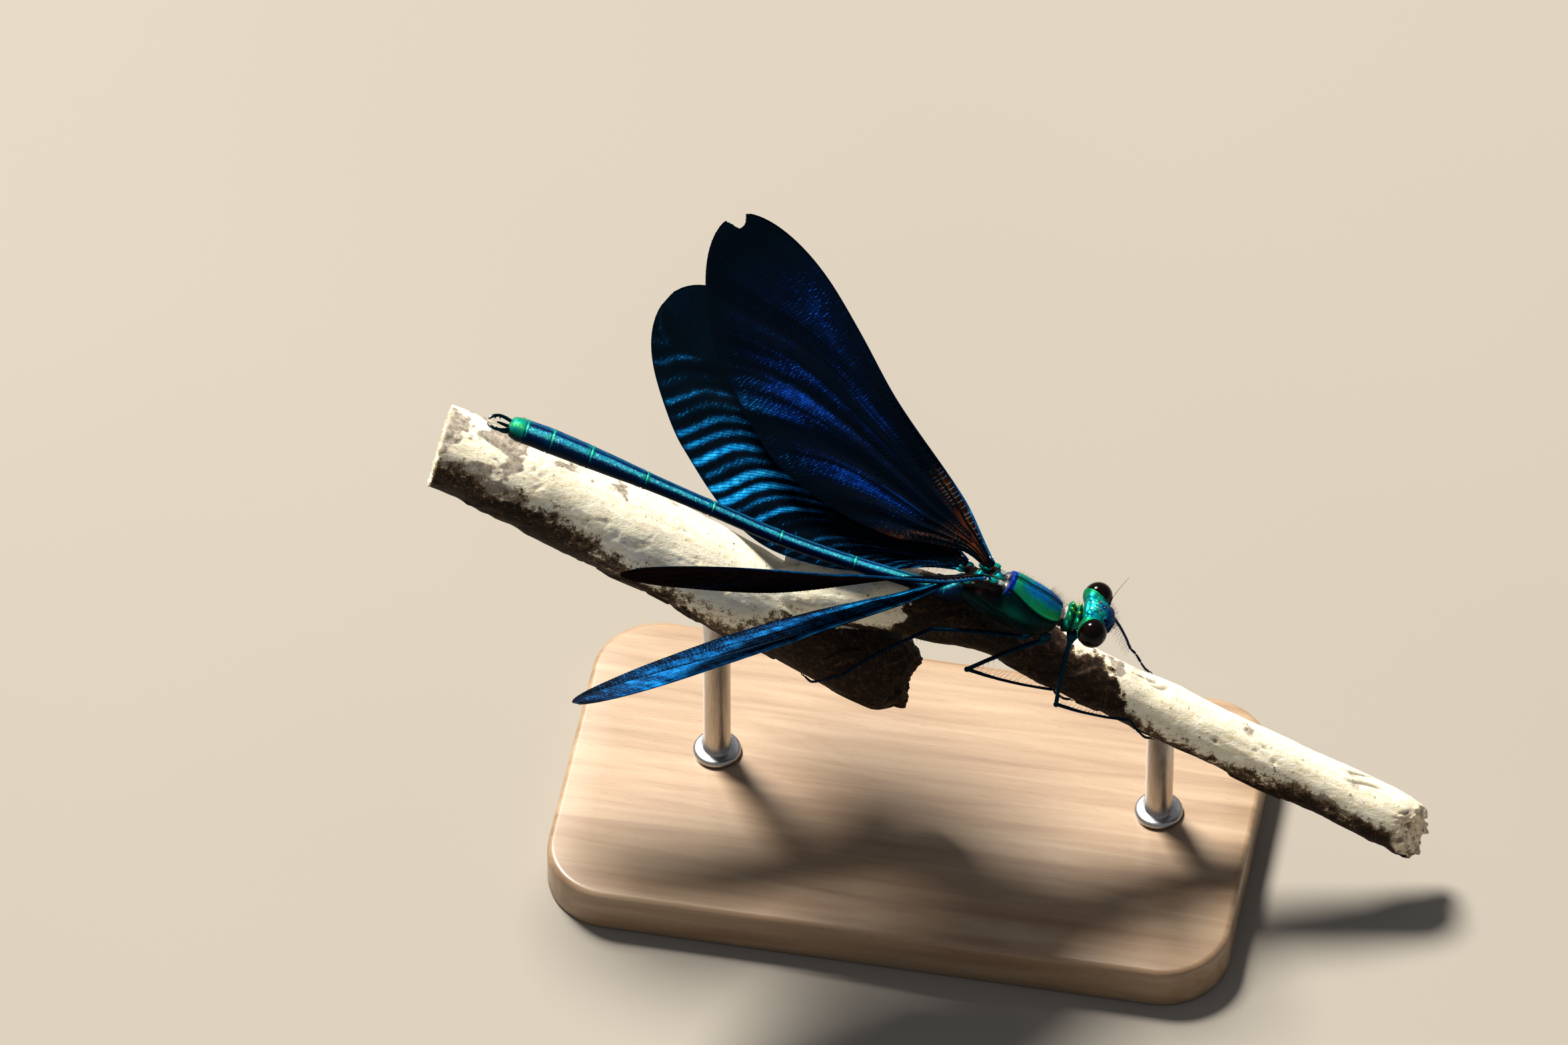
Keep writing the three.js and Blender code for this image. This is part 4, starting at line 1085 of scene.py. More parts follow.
def make_abdomen(skin, hair):
    """The ten segments as one skin with a seam at each joint."""
    joints = np.array(SEGMENT_ENDS)
    spread = np.concatenate([np.linspace(-39.56, -4.85, 420)]
                            + [j + np.linspace(-0.42, 0.42, 22) for j in joints[1:-1]])
    xs = np.unique(np.round(spread, 3))
    x, angle = surface(xs, 96)
    phi = from_back(angle)
    rough = np.stack([x, np.cos(angle), np.sin(angle)], -1)
    ring = sum(bell(x - (j + 0.12), 0.075) for j in joints[1:-1])
    seam = sum(bell(x - (j - 0.015), 0.035) for j in joints[1:-1])
    swell = sum(bell(x - (j - 0.3), 0.28) for j in joints[1:-1])
    radius = ABDOMEN_RADIUS(x) + 0.035 * ring - 0.05 * seam + 0.02 * swell
    furrow = bell(phi - 180, 15) * smooth(-39.4, -39.0, x)
    flap = bell(phi - 160, 7)
    keel = bell(phi, 4) * 0.012
    radius = radius * (1 - 0.13 * furrow + 0.035 * flap) + keel + 0.008 * noise(rough * [1, 2, 2], 0.5, 61)
    middle = ABDOMEN_LINE(x)
    rings = np.stack([x, radius * np.cos(angle), middle + radius * np.sin(angle)], -1)
    slope = np.gradient(ABDOMEN_LINE(xs), xs)
    tilt = np.arctan(slope)[:, None]
    rings[..., 0] = x - (rings[..., 2] - middle) * np.sin(tilt) * 0.9
    last = np.clip((x + 39.56) / 0.3, 0, 1)
    rings = closed_in(rings, 0.35 + 0.65 * np.sqrt(1 - (1 - last) ** 2))
    green = 1 - smooth(-38.55, -38.3, x)
    sparkle = noise(np.stack([x, radius * np.cos(angle), radius * np.sin(angle)], -1), 0.085, 69, 2)
    # The strip along each side of the back is a painted highlight, bright and cyan, dimmer on the left side;
    # the flanks are painted dark shade with a faint painted blue band below the strip, the green tail end is
    # painted brighter on top, and the cyan sparkle in the strip is painted glitter.
    sway = phi - 4 * noise(rough * [0.5, 0, 0], 1.0, 73)
    on_right = np.cos(angle) < 0
    painted_highlight_strip = smooth(2, 15, sway) * (1 - smooth(29, 47, sway)) * np.where(on_right, 1, 0.4)
    upper = 1 - smooth(42, 82, phi)
    knuckle = (sum(bell(x - (j - 0.1), 0.3) for j in joints[1:-1]) * smooth(-0.5, 0.2, noise(rough, 0.4, 74))
               * upper)
    tone = 0.14 + 0.05 * noise(rough * [0.3, 1, 1], 1.5, 62) + 0.24 * painted_highlight_strip + 0.4 * green
    tone = tone + (0.64 - tone) * np.clip(ring * upper + 0.75 * knuckle * (0.3 + 0.7 * painted_highlight_strip), 0, 1)
    tone = tone + 0.22 * smooth(-12, -6.5, x) * smooth(40, 15, phi)
    below = bell(phi - 58, 10) * np.where(on_right, 0.06, 0.03)
    shade = (0.01 + 0.08 * upper + 0.92 * painted_highlight_strip + below + 0.55 * green * (1 - smooth(45, 90, phi))
             + 0.3 * knuckle)
    painted_glitter = ((0.3 + 0.7 * smooth(-0.02, 0.3, sparkle)) * np.where(on_right, 1.2, 0.2) * bell(phi - 25, 15)
               * (1 - 0.6 * green))
    shade = shade * (1 - 0.6 * seam) + 0.3 * ring * upper
    red = smooth(105, 135, phi) * (1 - smooth(-33.5, -33.0, x)) * (1 - 0.4 * green)
    values = {"tone": np.clip(tone, 0, 1), "shade": np.clip(shade, 0.02, 1),
              "flesh": np.clip(red, 0, 1) * 0.9, "pale": painted_glitter}
    ringed("abdomen_skin", rings, values, skin, ["abdomen_s%d" % n for n in range(1, 11)])
    normals = skin_normals(rings).reshape(-1, 3)
    chosen = picks((phi.ravel() > 70) & (x.ravel() < -6) & (x.ravel() > -39.3), 1500, 63)
    chosen = np.concatenate([chosen, picks((x.ravel() < -38.3) & (x.ravel() > -39.5), 160, 64)])
    lean = leans(chosen, 65)
    at = np.stack([(x.ravel() + 39.7) / 35, angle.ravel() / TAU], -1) * 0.98 + 0.01
    place = rings.reshape(-1, 3)
    ways = normals[chosen] + 0.4 * lean + [-0.5, 0, 0]
    hairs("abdomen_hairs", place[chosen] - 0.01 * normals[chosen], ways,
          0.1 + 0.1 * scatter(chosen, 68), FINE_HAIR, hair, bake_at=at[chosen])


SIDES = ((1, "left"), (-1, "right"))


def make_claspers(skin):
    """The pincers at the tail: two long upper ones that curve together, and two short lower ones."""
    for side, label in SIDES:
        path = np.array([[-39.42, 0.36, 0.98], [-39.75, 0.52, 0.96], [-40.15, 0.64, 0.92],
                         [-40.5, 0.64, 0.88], [-40.8, 0.5, 0.82], [-41.0, 0.3, 0.76], [-41.05, 0.16, 0.74]])
        fine = np.linspace(0, 1, 60)
        line = through(path, np.linspace(0, 1, len(path)), fine) * [1, side, 1]
        radius = 0.155 - 0.05 * fine + 0.03 * bell(fine - 0.72, 0.1) - 0.045 * smooth(0.85, 1, fine)
        rings = tube_rings(line, radius, 28, squash=0.8)
        rings = rings + 0.01 * noise(rings, 0.12, 71)[..., None]
        tooth = prisms([[-40.62, side * 0.5, 0.82], [-40.3, side * 0.54, 0.86]],
                       [[-40.66, side * 0.3, 0.76], [-40.28, side * 0.38, 0.82]], 0.07, 0.015, [0, 0, 1], 6)
        bodies = [capped_grid(rings), tooth]
        path = np.array([[-39.4, 0.24, 0.55], [-39.7, 0.3, 0.5], [-40.0, 0.33, 0.5], [-40.25, 0.3, 0.56],
                         [-40.4, 0.24, 0.64]])
        fine = np.linspace(0, 1, 30)
        line = through(path, np.linspace(0, 1, len(path)), fine) * [1, side, 1]
        bodies.append(capped_grid(tube_rings(line, 0.14 - 0.085 * fine ** 1.5, 20)))
        points, faces = gather(bodies)
        marks = blank(points, shade=0.03, tone=0.4)
        marks["pale"] += 0.25 * smooth(-40.7, -41.0, points[:, 0])
        piece("cercus_%s_horn" % label, points, faces, skin, ["cercus_" + label], marks=marks)


# ---- head

HEAD_CENTRE = np.array([4.48, -0.05, 1.58])
YAW = math.radians(3)


def from_head(p):
    """Head frame (x towards the face) to insect frame."""
    p = np.asarray(p, float)
    c, s = math.cos(YAW), math.sin(YAW)
    x, y = c * p[..., 0] - s * p[..., 1], s * p[..., 0] + c * p[..., 1]
    return np.stack([x, y, p[..., 2]], -1) + HEAD_CENTRE


def on_head(p):
    """Head frame to display frame."""
    return display(from_head(p))


EYE_AT, EYE_RADII = np.array([0.02, 1.75, 0]), np.array([1.04, 1.0, 1.12])


def cut_ball(centre, radii, normal, level, wide=48, high=32):
    """A ball whose part beyond a plane is pressed flat onto it."""
    points, faces = ball([0, 0, 0], radii, wide, high)
    normal = unit(normal)
    over = np.maximum(points @ normal - level, 0)
    return points - over[:, None] * normal + centre, faces


def make_head(skin, dark, hair):
    """Head, mouth, eyes, antennae and ocelli."""
    bodies = [
        ball([-0.05, 0, 0.1], [0.84, 1.55, 0.98], 64, 40),
        ball([0.5, 0, -0.15], [0.86, 0.98, 1.1], 64, 40),
        ball([0.2, 0, 0.72], [0.62, 0.78, 0.36], 40, 24),   # vertex, which carries the ocelli
        ball([0.98, 0, 0.22], [0.42, 0.86, 0.42], 40, 24),  # frons
        ball([1.2, 0, -0.18], [0.36, 0.68, 0.28], 40, 24),  # postclypeus
        ball([1.26, 0, -0.52], [0.26, 0.6, 0.18], 40, 24),  # anteclypeus
        ball([-0.62, 0, 0.35], [0.35, 1.15, 0.42], 40, 24),  # back of the head
    ]
    for side in (1, -1):
        bodies += [
            cut_ball(EYE_AT * [1, side, 1], EYE_RADII + 0.05, [0.4, side * 0.85, 0.3], -0.2),
            ball([-0.35, side * 1.2, 0.2], [0.6, 0.6, 0.7], 40, 24),
            ball([0.62, side * 0.62, 0.5], [0.3, 0.26, 0.3], 28, 18),    # socket of the antenna
            ball([-0.12, side * 0.42, 1.0], [0.26, 0.22, 0.14], 28, 18),  # knob beside the ocellus
            ball([-0.42, side * 0.62, 0.78], [0.3, 0.34, 0.2], 28, 18),
        ]
    points, faces, normals = fused(bodies, voxel=0.042, soften=3)
    points = points + normals * (0.012 * noise(points, 0.28, 81) + 0.006 * noise(points, 0.09, 82))[:, None]
    x, y, z = points.T
    away = np.abs(y)
    marks = blank(points)
    top = smooth(0.3, 0.7, z)
    cup = smooth(0.85, 1.15, away)
    tone = 0.55 + 0.16 * cup + 0.12 * noise(points, 0.45, 83) - 0.1 * bell(away - 1.0, 0.25) * top
    dark_spot = bell(x - 0.42, 0.26) * bell(y, 0.3) * top
    tone = tone - 0.5 * dark_spot - 0.32 * smooth(0.55, 0.85, x) * (1 - cup)
    shade = (1.0 - 0.75 * dark_spot - 0.86 * smooth(0.6, 0.88, x) * (1 - 0.25 * top)
             + 0.12 * noise(points, 0.35, 93))
    royal = bell(x - 1.3, 0.3) * bell(z + 0.02, 0.2) * smooth(-0.15, 0.1, noise(points, 0.3, 84))
    royal = np.maximum(royal, 0.8 * bell(x - 0.95, 0.2) * smooth(0.1, 0.4, noise(points, 0.4, 94))
                       * smooth(0.0, 0.3, z))
    tone = tone * (1 - royal) + 0.06 * royal
    shade = np.maximum(shade, 0.95 * royal)
    seams = (bell(z + 0.37, 0.035) * smooth(0.9, 1.1, x)
             + bell(z - 0.12 - 0.1 * away, 0.03) * smooth(0.9, 1.1, x))
    shade = (shade * (1 - smooth(-0.25, -0.75, z)) * (1 - 0.8 * np.clip(seams, 0, 1))
             * (1 - 0.4 * smooth(-0.55, -0.8, x)))
    marks["tone"], marks["shade"] = np.clip(tone, 0, 1), np.clip(shade, 0.02, 1)
    # Six small whitish spots on the crown beside the ocelli are painted glints.
    marks["pale"] = 0.9 * sum(bell(np.linalg.norm(points - np.array(c) * [1, s, 1], axis=1), 0.055)
                              for c in ([-0.12, 0.2, 1.1], [0.12, 0.5, 1.03], [-0.5, 0.3, 0.95])
                              for s in (1, -1))
    piece("head_shell", points, faces, skin, ["head"], where=on_head, marks=marks)

    chosen = picks((x > 0.5) & (z > -0.75) & (normals[:, 0] > 0.05), 420, 85)
    crown = picks((x < 0.5) & (z > 0.55) & (away < 1.2), 90, 86)
    chosen = np.concatenate([chosen, crown])
    lean = leans(chosen, 87)
    lengths = np.where(points[chosen, 0] > 0.5, 0.34, 0.2) + 0.22 * scatter(chosen, 90)
    ways = normals[chosen] + 0.5 * lean + [0.15, 0, 0.25]
    hairs("head_hairs", points[chosen] - 0.02 * normals[chosen], ways,
          lengths, HAIR, hair, bend=lean * 0.25 + [0, 0, 0.1], where=on_head,
          bake_at=np.stack([0.5 + y[chosen] / 6, 0.5 + z[chosen] / 4], -1))

    # Labrum, jaws and underlip.
    bodies = [ball([1.2, 0, -0.86], [0.3, 0.6, 0.27], 40, 24),
              ball([0.75, 0, -1.1], [0.6, 0.66, 0.62], 48, 30),
              ball([0.55, 0, -1.55], [0.5, 0.5, 0.42], 40, 24),
              ball([0.15, 0, -1.15], [0.5, 0.6, 0.5], 40, 24)]
    for side in (1, -1):
        bodies += [ball([0.9, side * 0.6, -1.0], [0.34, 0.24, 0.42], 32, 20),
                   ball([0.72, side * 0.34, -1.85], [0.22, 0.15, 0.3], 24, 16),
                   ball([0.3, side * 0.5, -1.6], [0.26, 0.2, 0.36], 24, 16)]
    points, faces, normals = fused(bodies, voxel=0.045, soften=3)
    points = points + normals * (0.012 * noise(points, 0.2, 91))[:, None]
    marks = blank(points, tone=0.2)
    marks["shade"] = 0.04 + 0.3 * smooth(-0.95, -0.75, points[:, 2]) * smooth(0.9, 1.2, points[:, 0])
    piece("mouth_shell", points, faces, skin, ["mouth"], where=on_head, marks=marks)

    for side, label in SIDES:
        # The eye is a smooth ball; its paint carries the lenses.
        points, faces = ball([0, 0, 0], [1, 1, 1], 150, 96)
        lens = noise(points, 0.5, 92)
        points = points * EYE_RADII * (1 + 0.004 * lens[:, None]) + EYE_AT * [1, side, 1]
        marks = blank(points)
        marks["shade"] = smooth(-0.2, -1.0, points[:, 2])
        piece("eye_%s_lens" % label, points, faces, dark["eye"], ["eye_" + label], where=on_head,
              marks=marks)
        # Antenna: two stout segments and a bristle that thins out.
        root, way = np.array([0.7, side * 0.72, 0.6]), unit([0.25, side * 0.6, 0.75])
        s = np.linspace(0, 1, 60)
        line = root + way * (2.4 * s)[:, None] + np.array([0.3, side * 0.1, -0.1]) * (s ** 2)[:, None]
        knots = sum(bell(s - k, 0.01) for k in (0.27, 0.42, 0.56, 0.7, 0.85))
        size = (0.02 + 0.095 * (1 - smooth(0.1, 0.13, s)) + 0.03 * (1 - smooth(0.24, 0.28, s)) - 0.011 * s
                + 0.02 * bell(s - 0.05, 0.04) - 0.06 * bell(s - 0.118, 0.012) + 0.008 * knots)
        points, faces = capped_grid(tube_rings(line, size, 18))
        marks = blank(points, shade=0.03)
        piece("antenna_%s_bristle" % label, points, faces, skin, ["antenna_" + label],
              where=on_head, marks=marks)

    ocelli = [ball([0.42, 0, 1.0], [0.09, 0.1, 0.09], 40, 26)]
    ocelli += [ball([0.12, s * 0.33, 1.075], [0.085, 0.09, 0.085], 40, 26) for s in (1, -1)]
    points, faces = gather(ocelli)
    piece("ocelli", points, faces, dark["ocellus"], where=on_head)


# ---- wing bases


def make_wing_bases(skin):
    """The raised shoulders and small plates that the wings hinge on, run together into one skin."""
    bodies, spots = [], []

    def knob(centre, radii, tone, shade, flesh=0.0, pale=0.0):
        seed = len(spots)
        points, faces = ball([0, 0, 0], [1, 1, 1], 30, 18)
        points = points * (1 + 0.16 * noise(points + seed * 3.1, 0.9, 101 + seed))[:, None] * radii + centre
        bodies.append((points, faces))
        spots.append([*centre, max(radii), tone, shade, flesh, pale])

    for name, wing in WINGS.items():
        side = 1 if "left" in name else -1
        root = wing.root + wing.inward
        lead, rear = wing.place(0.014, 0.0), wing.place(0.014, 1.0)
        if "fore" in name:
            knob(root + [0.12, -side * 0.1, -0.4], [0.6, 0.36, 0.4], 0.5, 0.1, flesh=1.0)
            knob(root + [0.82, -side * 0.14, -0.3], [0.34, 0.24, 0.12], 0.5, 0.5, flesh=0.4, pale=0.4)
            knob(root + [-0.62, -side * 0.1, -0.36], [0.4, 0.24, 0.22], 0.5, 0.5)
        else:
            knob(root + [0.25, -side * 0.1, -0.32], [0.55, 0.32, 0.36], 0.5, 0.1, flesh=1.0)
            knob(root + [0.72, -side * 0.1, -0.16], [0.24, 0.2, 0.12], 0.5, 0.5, flesh=0.3, pale=0.5)
        knob(lead + wing.along * 0.14 - [0, 0, 0.03], [0.26, 0.13, 0.12], 0.5, 0.6, pale=0.95)
        knob(lead * 0.6 + root * 0.4 + [0.36, -side * 0.1, -0.16], [0.36, 0.22, 0.14], 0.52, 1.0)
        knob((lead + rear) / 2 - [0, 0, 0.05], [0.3, 0.16, 0.1], 0.45, 0.3, flesh=0.6)
        knob((rear + root) / 2 + [0.05, -side * 0.12, -0.14], [0.34, 0.2, 0.13], 0.5, 0.6)
        knob(root + [-0.25, -side * 0.15, -0.2], [0.28, 0.2, 0.14], 0.5, 0.4, flesh=0.4)
    points, faces, normals = fused(bodies, voxel=0.05, soften=2)
    points = points + normals * (0.02 * noise(points, 0.16, 108) + 0.02 * noise(points, 0.4, 109))[:, None]
    spots = np.array(spots)
    apart = np.linalg.norm(points[:, None] - spots[None, :, :3], axis=2) / spots[None, :, 3]
    near = np.argsort(apart, axis=1)[:, :2]
    first, second = (np.take_along_axis(apart, near[:, k:k + 1], 1)[:, 0] for k in (0, 1))
    share = np.clip(0.5 + (second - first) / 0.3, 0.5, 1)[:, None]
    values = spots[near[:, 0], 4:] * share + spots[near[:, 1], 4:] * (1 - share)
    marks = {k: values[:, i] for i, k in enumerate(("tone", "shade", "flesh", "pale"))}
    piece("wing_hinges", points, faces, skin, marks=marks)


# ---- wood

STEM = [[-43.1, 1.5, 7, 3.05], [-36.3, 1.4, 4, 3.25], [-26.6, 1.25, -0.65, 3.4], [-21.8, 1.1, -3.2, 3.4],
        [-16.9, 0.95, -5.9, 3.3], [-12.5, 0.8, -8.45, 3.15], [-8.9, 0.6, -10.4, 2.8]]
TWIG = [[-20.5, 1, -3.4, 1.8], [-17.5, 1.15, -2.9, 2.15], [-14, 1.3, -2.45, 2.4], [-10.2, 1.35, -2.4, 2.5],
        [-7.2, 1.35, -2.95, 2.4], [-4.6, 1.3, -3.5, 2.15], [-2.2, 1.25, -4.25, 2.05], [6.3, 1.2, -8.85, 2.06],
        [18, 1.15, -14.5, 2.04], [29.2, 1.1, -19.95, 2.12]]


class Wood:
    """A round branch along x: its middle line and radius."""

    def __init__(self, points):
        table = np.array(points, float)
        self.start, self.end = table[0, 0], table[-1, 0]
        self.y, self.z, self.size = (profile(table[:, [0, k]]) for k in (1, 2, 3))

    def at(self, x):
        """The wood's middle at x."""
        x = np.asarray(x, float)
        return np.stack([x, self.y(x), self.z(x)], -1)

    def frame(self, x):
        """The ways along the wood, to its side and to its top."""
        ahead = unit(self.at(np.asarray(x) + 0.2) - self.at(np.asarray(x) - 0.2))
        side = unit(np.array([0, 1.0, 0]) - ahead * ahead[..., 1:2])
        return ahead, side, np.cross(ahead, side)

    def round(self, x, degrees, height):
        """A point round the wood at x, degrees from the top towards +Y."""
        _, side, top = self.frame(x)
        a = np.radians(degrees)
        return (self.at(x) + side * np.asarray(np.sin(a) * height)[..., None]
                + top * np.asarray(np.cos(a) * height)[..., None])


WOOD = {"stem": Wood(STEM), "twig": Wood(TWIG)}


def uneven(x, degrees):
    """How far the wood's outline departs from a circle."""
    return 1 + 0.025 * np.sin(np.radians(3 * degrees) + 0.5 * x) + 0.015 * np.sin(0.8 * x)


def make_perch(paint):
    """Stem and twig in one piece of wood, with its bark, cracks and cut ends."""
    bodies = []
    for name, line in WOOD.items():
        rows, columns = (110, 96) if name == "stem" else (150, 72)
        x, degrees = surface(np.linspace(line.start, line.end, rows), columns, 360)
        last, turn = degrees[-1], np.radians(degrees[-1])
        # The right end narrows, and its rim is pushed out unevenly, as a break leaves it.
        if name == "stem":
            closing = 1 - 0.34 * smooth(-10.6, -8.9, x) ** 2
            push = 0.3 * np.sin(turn * 2.0 + 0.6) + 0.15 * np.sin(turn * 7)
        else:
            closing = 1 - 0.12 * smooth(28.2, 29.2, x) ** 2
            push = (-1.8 * (0.5 + 0.5 * np.cos(np.radians(last - 318))) + 0.2 * np.sin(last / 9)
                    + 0.12 * np.sin(last / 4.1))
        rings = line.round(x, degrees, line.size(x) * uneven(x, degrees) * closing)
        ahead = line.frame(x[-1])[0]
        blend = smooth(0.9, 1.0, np.linspace(0, 1, rows))[:, None, None] ** 3
        rings = rings + blend * ahead[None] * push[None, :, None]
        bodies.append(capped_grid(rings))
    bodies.append(ball([-17.4, 2.5, -1.1], [0.9, 0.6, 0.55], 24, 16))      # nub on the far side of the fork
    points, faces, normals = fused(bodies, voxel=0.135, soften=1)

    stem_line, twig_line = WOOD["stem"], WOOD["twig"]
    x = points[:, 0]
    off_stem = np.linalg.norm(points - stem_line.at(np.clip(x, stem_line.start, stem_line.end)), axis=1)
    off_twig = np.linalg.norm(points - twig_line.at(np.clip(x, twig_line.start, twig_line.end)), axis=1)
    way = np.where(x < -20, 0.44, 0.49)
    grain = np.stack([(x * np.cos(way) - points[:, 2] * np.sin(way)) * 0.16, points[:, 1],
                      points[:, 2] * np.cos(way) + x * np.sin(way)], -1)
    fibre = noise(grain, 0.45, 111, 4)
    lumps = noise(points, 2.6, 112, 3)
    pits = np.clip(noise(points * [0.7, 1, 1], 0.8, 113, 3) - 0.28, 0, 1)
    # The dark on the wood is partly bark and partly painted shade: it lies on the side that faces down and
    # towards the camera and underneath, takes in more of the wood towards the fork, and on the twig under the
    # thorax it is a painted shadow of the insect.
    painted_shade_side = (normals @ [0.135, -0.731, -0.669] + 0.24 * noise(points, 1.3, 114, 4)
                + 0.24 * noise(points, 0.45, 120, 3))
    on_stem = off_stem / stem_line.size(x) < off_twig / twig_line.size(x)
    shift = x + 0.9 * noise(points, 1.0, 122) + 0.9 * noise(points, 0.45, 123)
    stem_shade_reach = profile([[-40, 0.42], [-34, 0.5], [-28, 0.76], [-20, 0.68], [-17.5, 0.2], [-15.5, -0.27],
                          [-13, -0.5], [-11.8, -1.9], [-8, -1.9]])
    twig_shade_reach = profile([[-20, 0.9], [-9.6, 0.85], [-7.8, -0.9], [1.5, -1.1], [3.6, -0.1], [4.6, -0.6],
                          [5.8, -0.5], [7.2, 0.6], [12, 0.78], [20, 0.62], [29, 0.45]])
    reach = np.where(on_stem, stem_shade_reach(shift), twig_shade_reach(shift))
    underside = np.maximum(smooth(reach - 0.42, reach + 0.42, painted_shade_side),
                           smooth(-0.2, -0.5, normals[:, 2] + 0.3 * noise(points, 1.3, 114, 3)))
    chips = np.clip(noise(points * [0.5, 1, 1], 1.1, 115, 3), 0, 1) * underside
    cracks = (bell(noise(grain, 1.7, 116, 2), 0.03) * smooth(0.1, 0.45, noise(points, 4, 117, 2))
              * (0.15 + 0.85 * smooth(0, 8, x)))
    right_cut = smooth(0.62, 0.8, normals @ [0.77, -0.63, 0.1]) * smooth(26.6, 27.2, x)
    left_cut = smooth(-0.55, -0.85, normals[:, 0]) * (x < -40)
    stub_cut = smooth(0.5, 0.8, normals[:, 0]) * (x < 0) * (x > -11)
    ends = np.clip(right_cut + left_cut + stub_cut, 0, 1)
    splinters = noise(points * [0.15, 1, 1], 0.28, 118, 3) * ends
    bark = smooth(0.04, 0.1, noise(points * [0.35, 1, 1], 2.2, 119, 3) + 0.5 * underside - 0.52) * underside
    lift = (0.045 * fibre + 0.1 * lumps - 0.2 * pits - 0.25 * chips - 0.16 * cracks * (1 - ends)
            + 0.24 * splinters + 0.16 * bark)
    lift = np.minimum(lift, 0.14 + 0.1 * ends)
    points = points + normals * lift[:, None]
    nearest, farthest = (np.array(corner) * MM - THORAX_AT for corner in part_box("perch"))
    points = np.clip(points, nearest - 0.3, farthest + 0.3)

    mottle = noise(points * [0.7, 1, 1], 1.5, 121, 4)
    grey = (1.3 * (1 - smooth(-37.5, -32.5, x)) + 0.45 * bell(x + 29, 3) + bell(x - 5.6, 2.0) * 0.9
            + 0.35 * bell(x + 11.5, 2.0))
    stains_and_shade = smooth(0.0, 0.5, mottle + 0.6 * grey - 0.42) * (1 - underside)
    # Towards the twig's broken end, brown on the side that faces down and towards the camera is painted
    # shade.
    stains_and_shade = np.maximum(stains_and_shade, 0.8 * smooth(0.0, 0.35, fibre + 0.9 * painted_shade_side - 0.42) * smooth(15, 22, x)
                         * (1 - ends))
    # dark is bark, painted shade and the insect's painted shadow, with the stub's dark end.
    marks = {"dark": np.clip(underside + 0.5 * bark + 0.8 * stub_cut, 0, 1),
             "stain_and_shade": np.clip(stains_and_shade + 0.5 * np.clip(pits * 3, 0, 1), 0, 1),
             "cut": np.clip(right_cut + left_cut, 0, 1),
             "crack": np.clip(cracks + np.clip(-splinters * 2.2, 0, 1), 0, 1)}
    piece("perch_wood", points, faces, paint, ["perch"], where=None, marks=marks)


BASE_HALF, BASE_CORNER, BASE_THICK, BASE_SOFT = np.array([25.0, 13.5]), 5.0, 3.6, 0.5
ROD, COLLAR, ROD_SIDES = 1.0, 1.75, 56


def make_stand(beech, steel):
    """The board and the two rods that hold the perch."""
    floor = (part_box("stand_base")[0].z * MM) - THORAX_AT[2]
    deck = floor + BASE_THICK
    centre = -FROM_STAND

    def ring(inset, z):
        """The base's outline: corner arcs with straight runs between them."""
        parts, ways = [], [(1, 1), (-1, 1), (-1, -1), (1, -1)]
        for quarter in range(4):
            a = np.linspace(quarter * 90, quarter * 90 + 90, 18) * math.pi / 180
            here, there = (centre + np.array(way) * (BASE_HALF - BASE_CORNER)
                           for way in (ways[quarter], ways[(quarter + 1) % 4]))
            arc = here + np.stack([np.cos(a), np.sin(a)], -1) * (BASE_CORNER - inset)
            after = there + np.array([math.cos(a[-1]), math.sin(a[-1])]) * (BASE_CORNER - inset)
            run = arc[-1] + (after - arc[-1]) * np.linspace(0, 1, 26)[1:-1, None]
            parts += [arc, run]
        outline = np.concatenate(parts)
        return np.concatenate([outline, np.full((len(outline), 1), z)], 1)

    def shrunk(outline, share):
        inner = outline.copy()
        inner[:, :2] = centre + (outline[:, :2] - centre) * share
        return inner

    steps = [(0.55, 0.0), (0.2, 0.04), (0.0, 0.22)] + [(0, h) for h in (1.0, 1.8, 2.6)]
    steps += [(BASE_SOFT * (1 - math.cos(a)), BASE_THICK - BASE_SOFT + BASE_SOFT * math.sin(a))
              for a in np.linspace(0, math.pi / 2, 7)]
    rings = [ring(i, floor + h) for i, h in steps]
    under = [shrunk(rings[0], k) for k in (0.15, 0.5, 0.85)]
    over = [shrunk(rings[-1], k) for k in (0.9, 0.7, 0.5, 0.3, 0.12)]
    points, faces = capped_grid(np.array(under + rings + over))
    rough = 0.012 * noise(points * [0.12, 1, 1], 0.5, 131, 2)
    points[:, 2] += np.where(points[:, 2] > deck - 0.2, rough, 0)
    piece("stand_base_beech", points, faces, beech, ["stand_base"], where=None)

    for name, x, line in (("stand_rod_rear", -23, "stem"), ("stand_rod_front", 9.5, "twig")):
        y = float(WOOD[line].y(x))
        top_z = float(WOOD[line].round(x, 180.0, WOOD[line].size(x))[2]) + 1.0
        rows = [(deck - 1.5, ROD), (deck - 0.02, ROD)]
        # A low collar where the rod enters the base, then the rod, which ends inside the wood.
        rows += [(deck, COLLAR), (deck + 0.35, COLLAR), (deck + 0.5, 1.66), (deck + 0.56, 1.5),
                 (deck + 0.58, 1.03), (deck + 0.62, ROD)]
        rows += [(z, ROD) for z in np.linspace(deck + 0.9, top_z - 0.4, 40)]
        rows += [(top_z - 0.2, 0.99), (top_z, 0.9)]
        angles = circle(ROD_SIDES)
        rings = [np.stack([x + r * np.cos(angles), y + r * np.sin(angles), np.full(ROD_SIDES, z)], -1)
                 for z, r in rows]
        points, faces = capped_grid(np.array(rings))
        piece(name + "_steel", points, faces, steel, [name], where=None)


# ---- legs

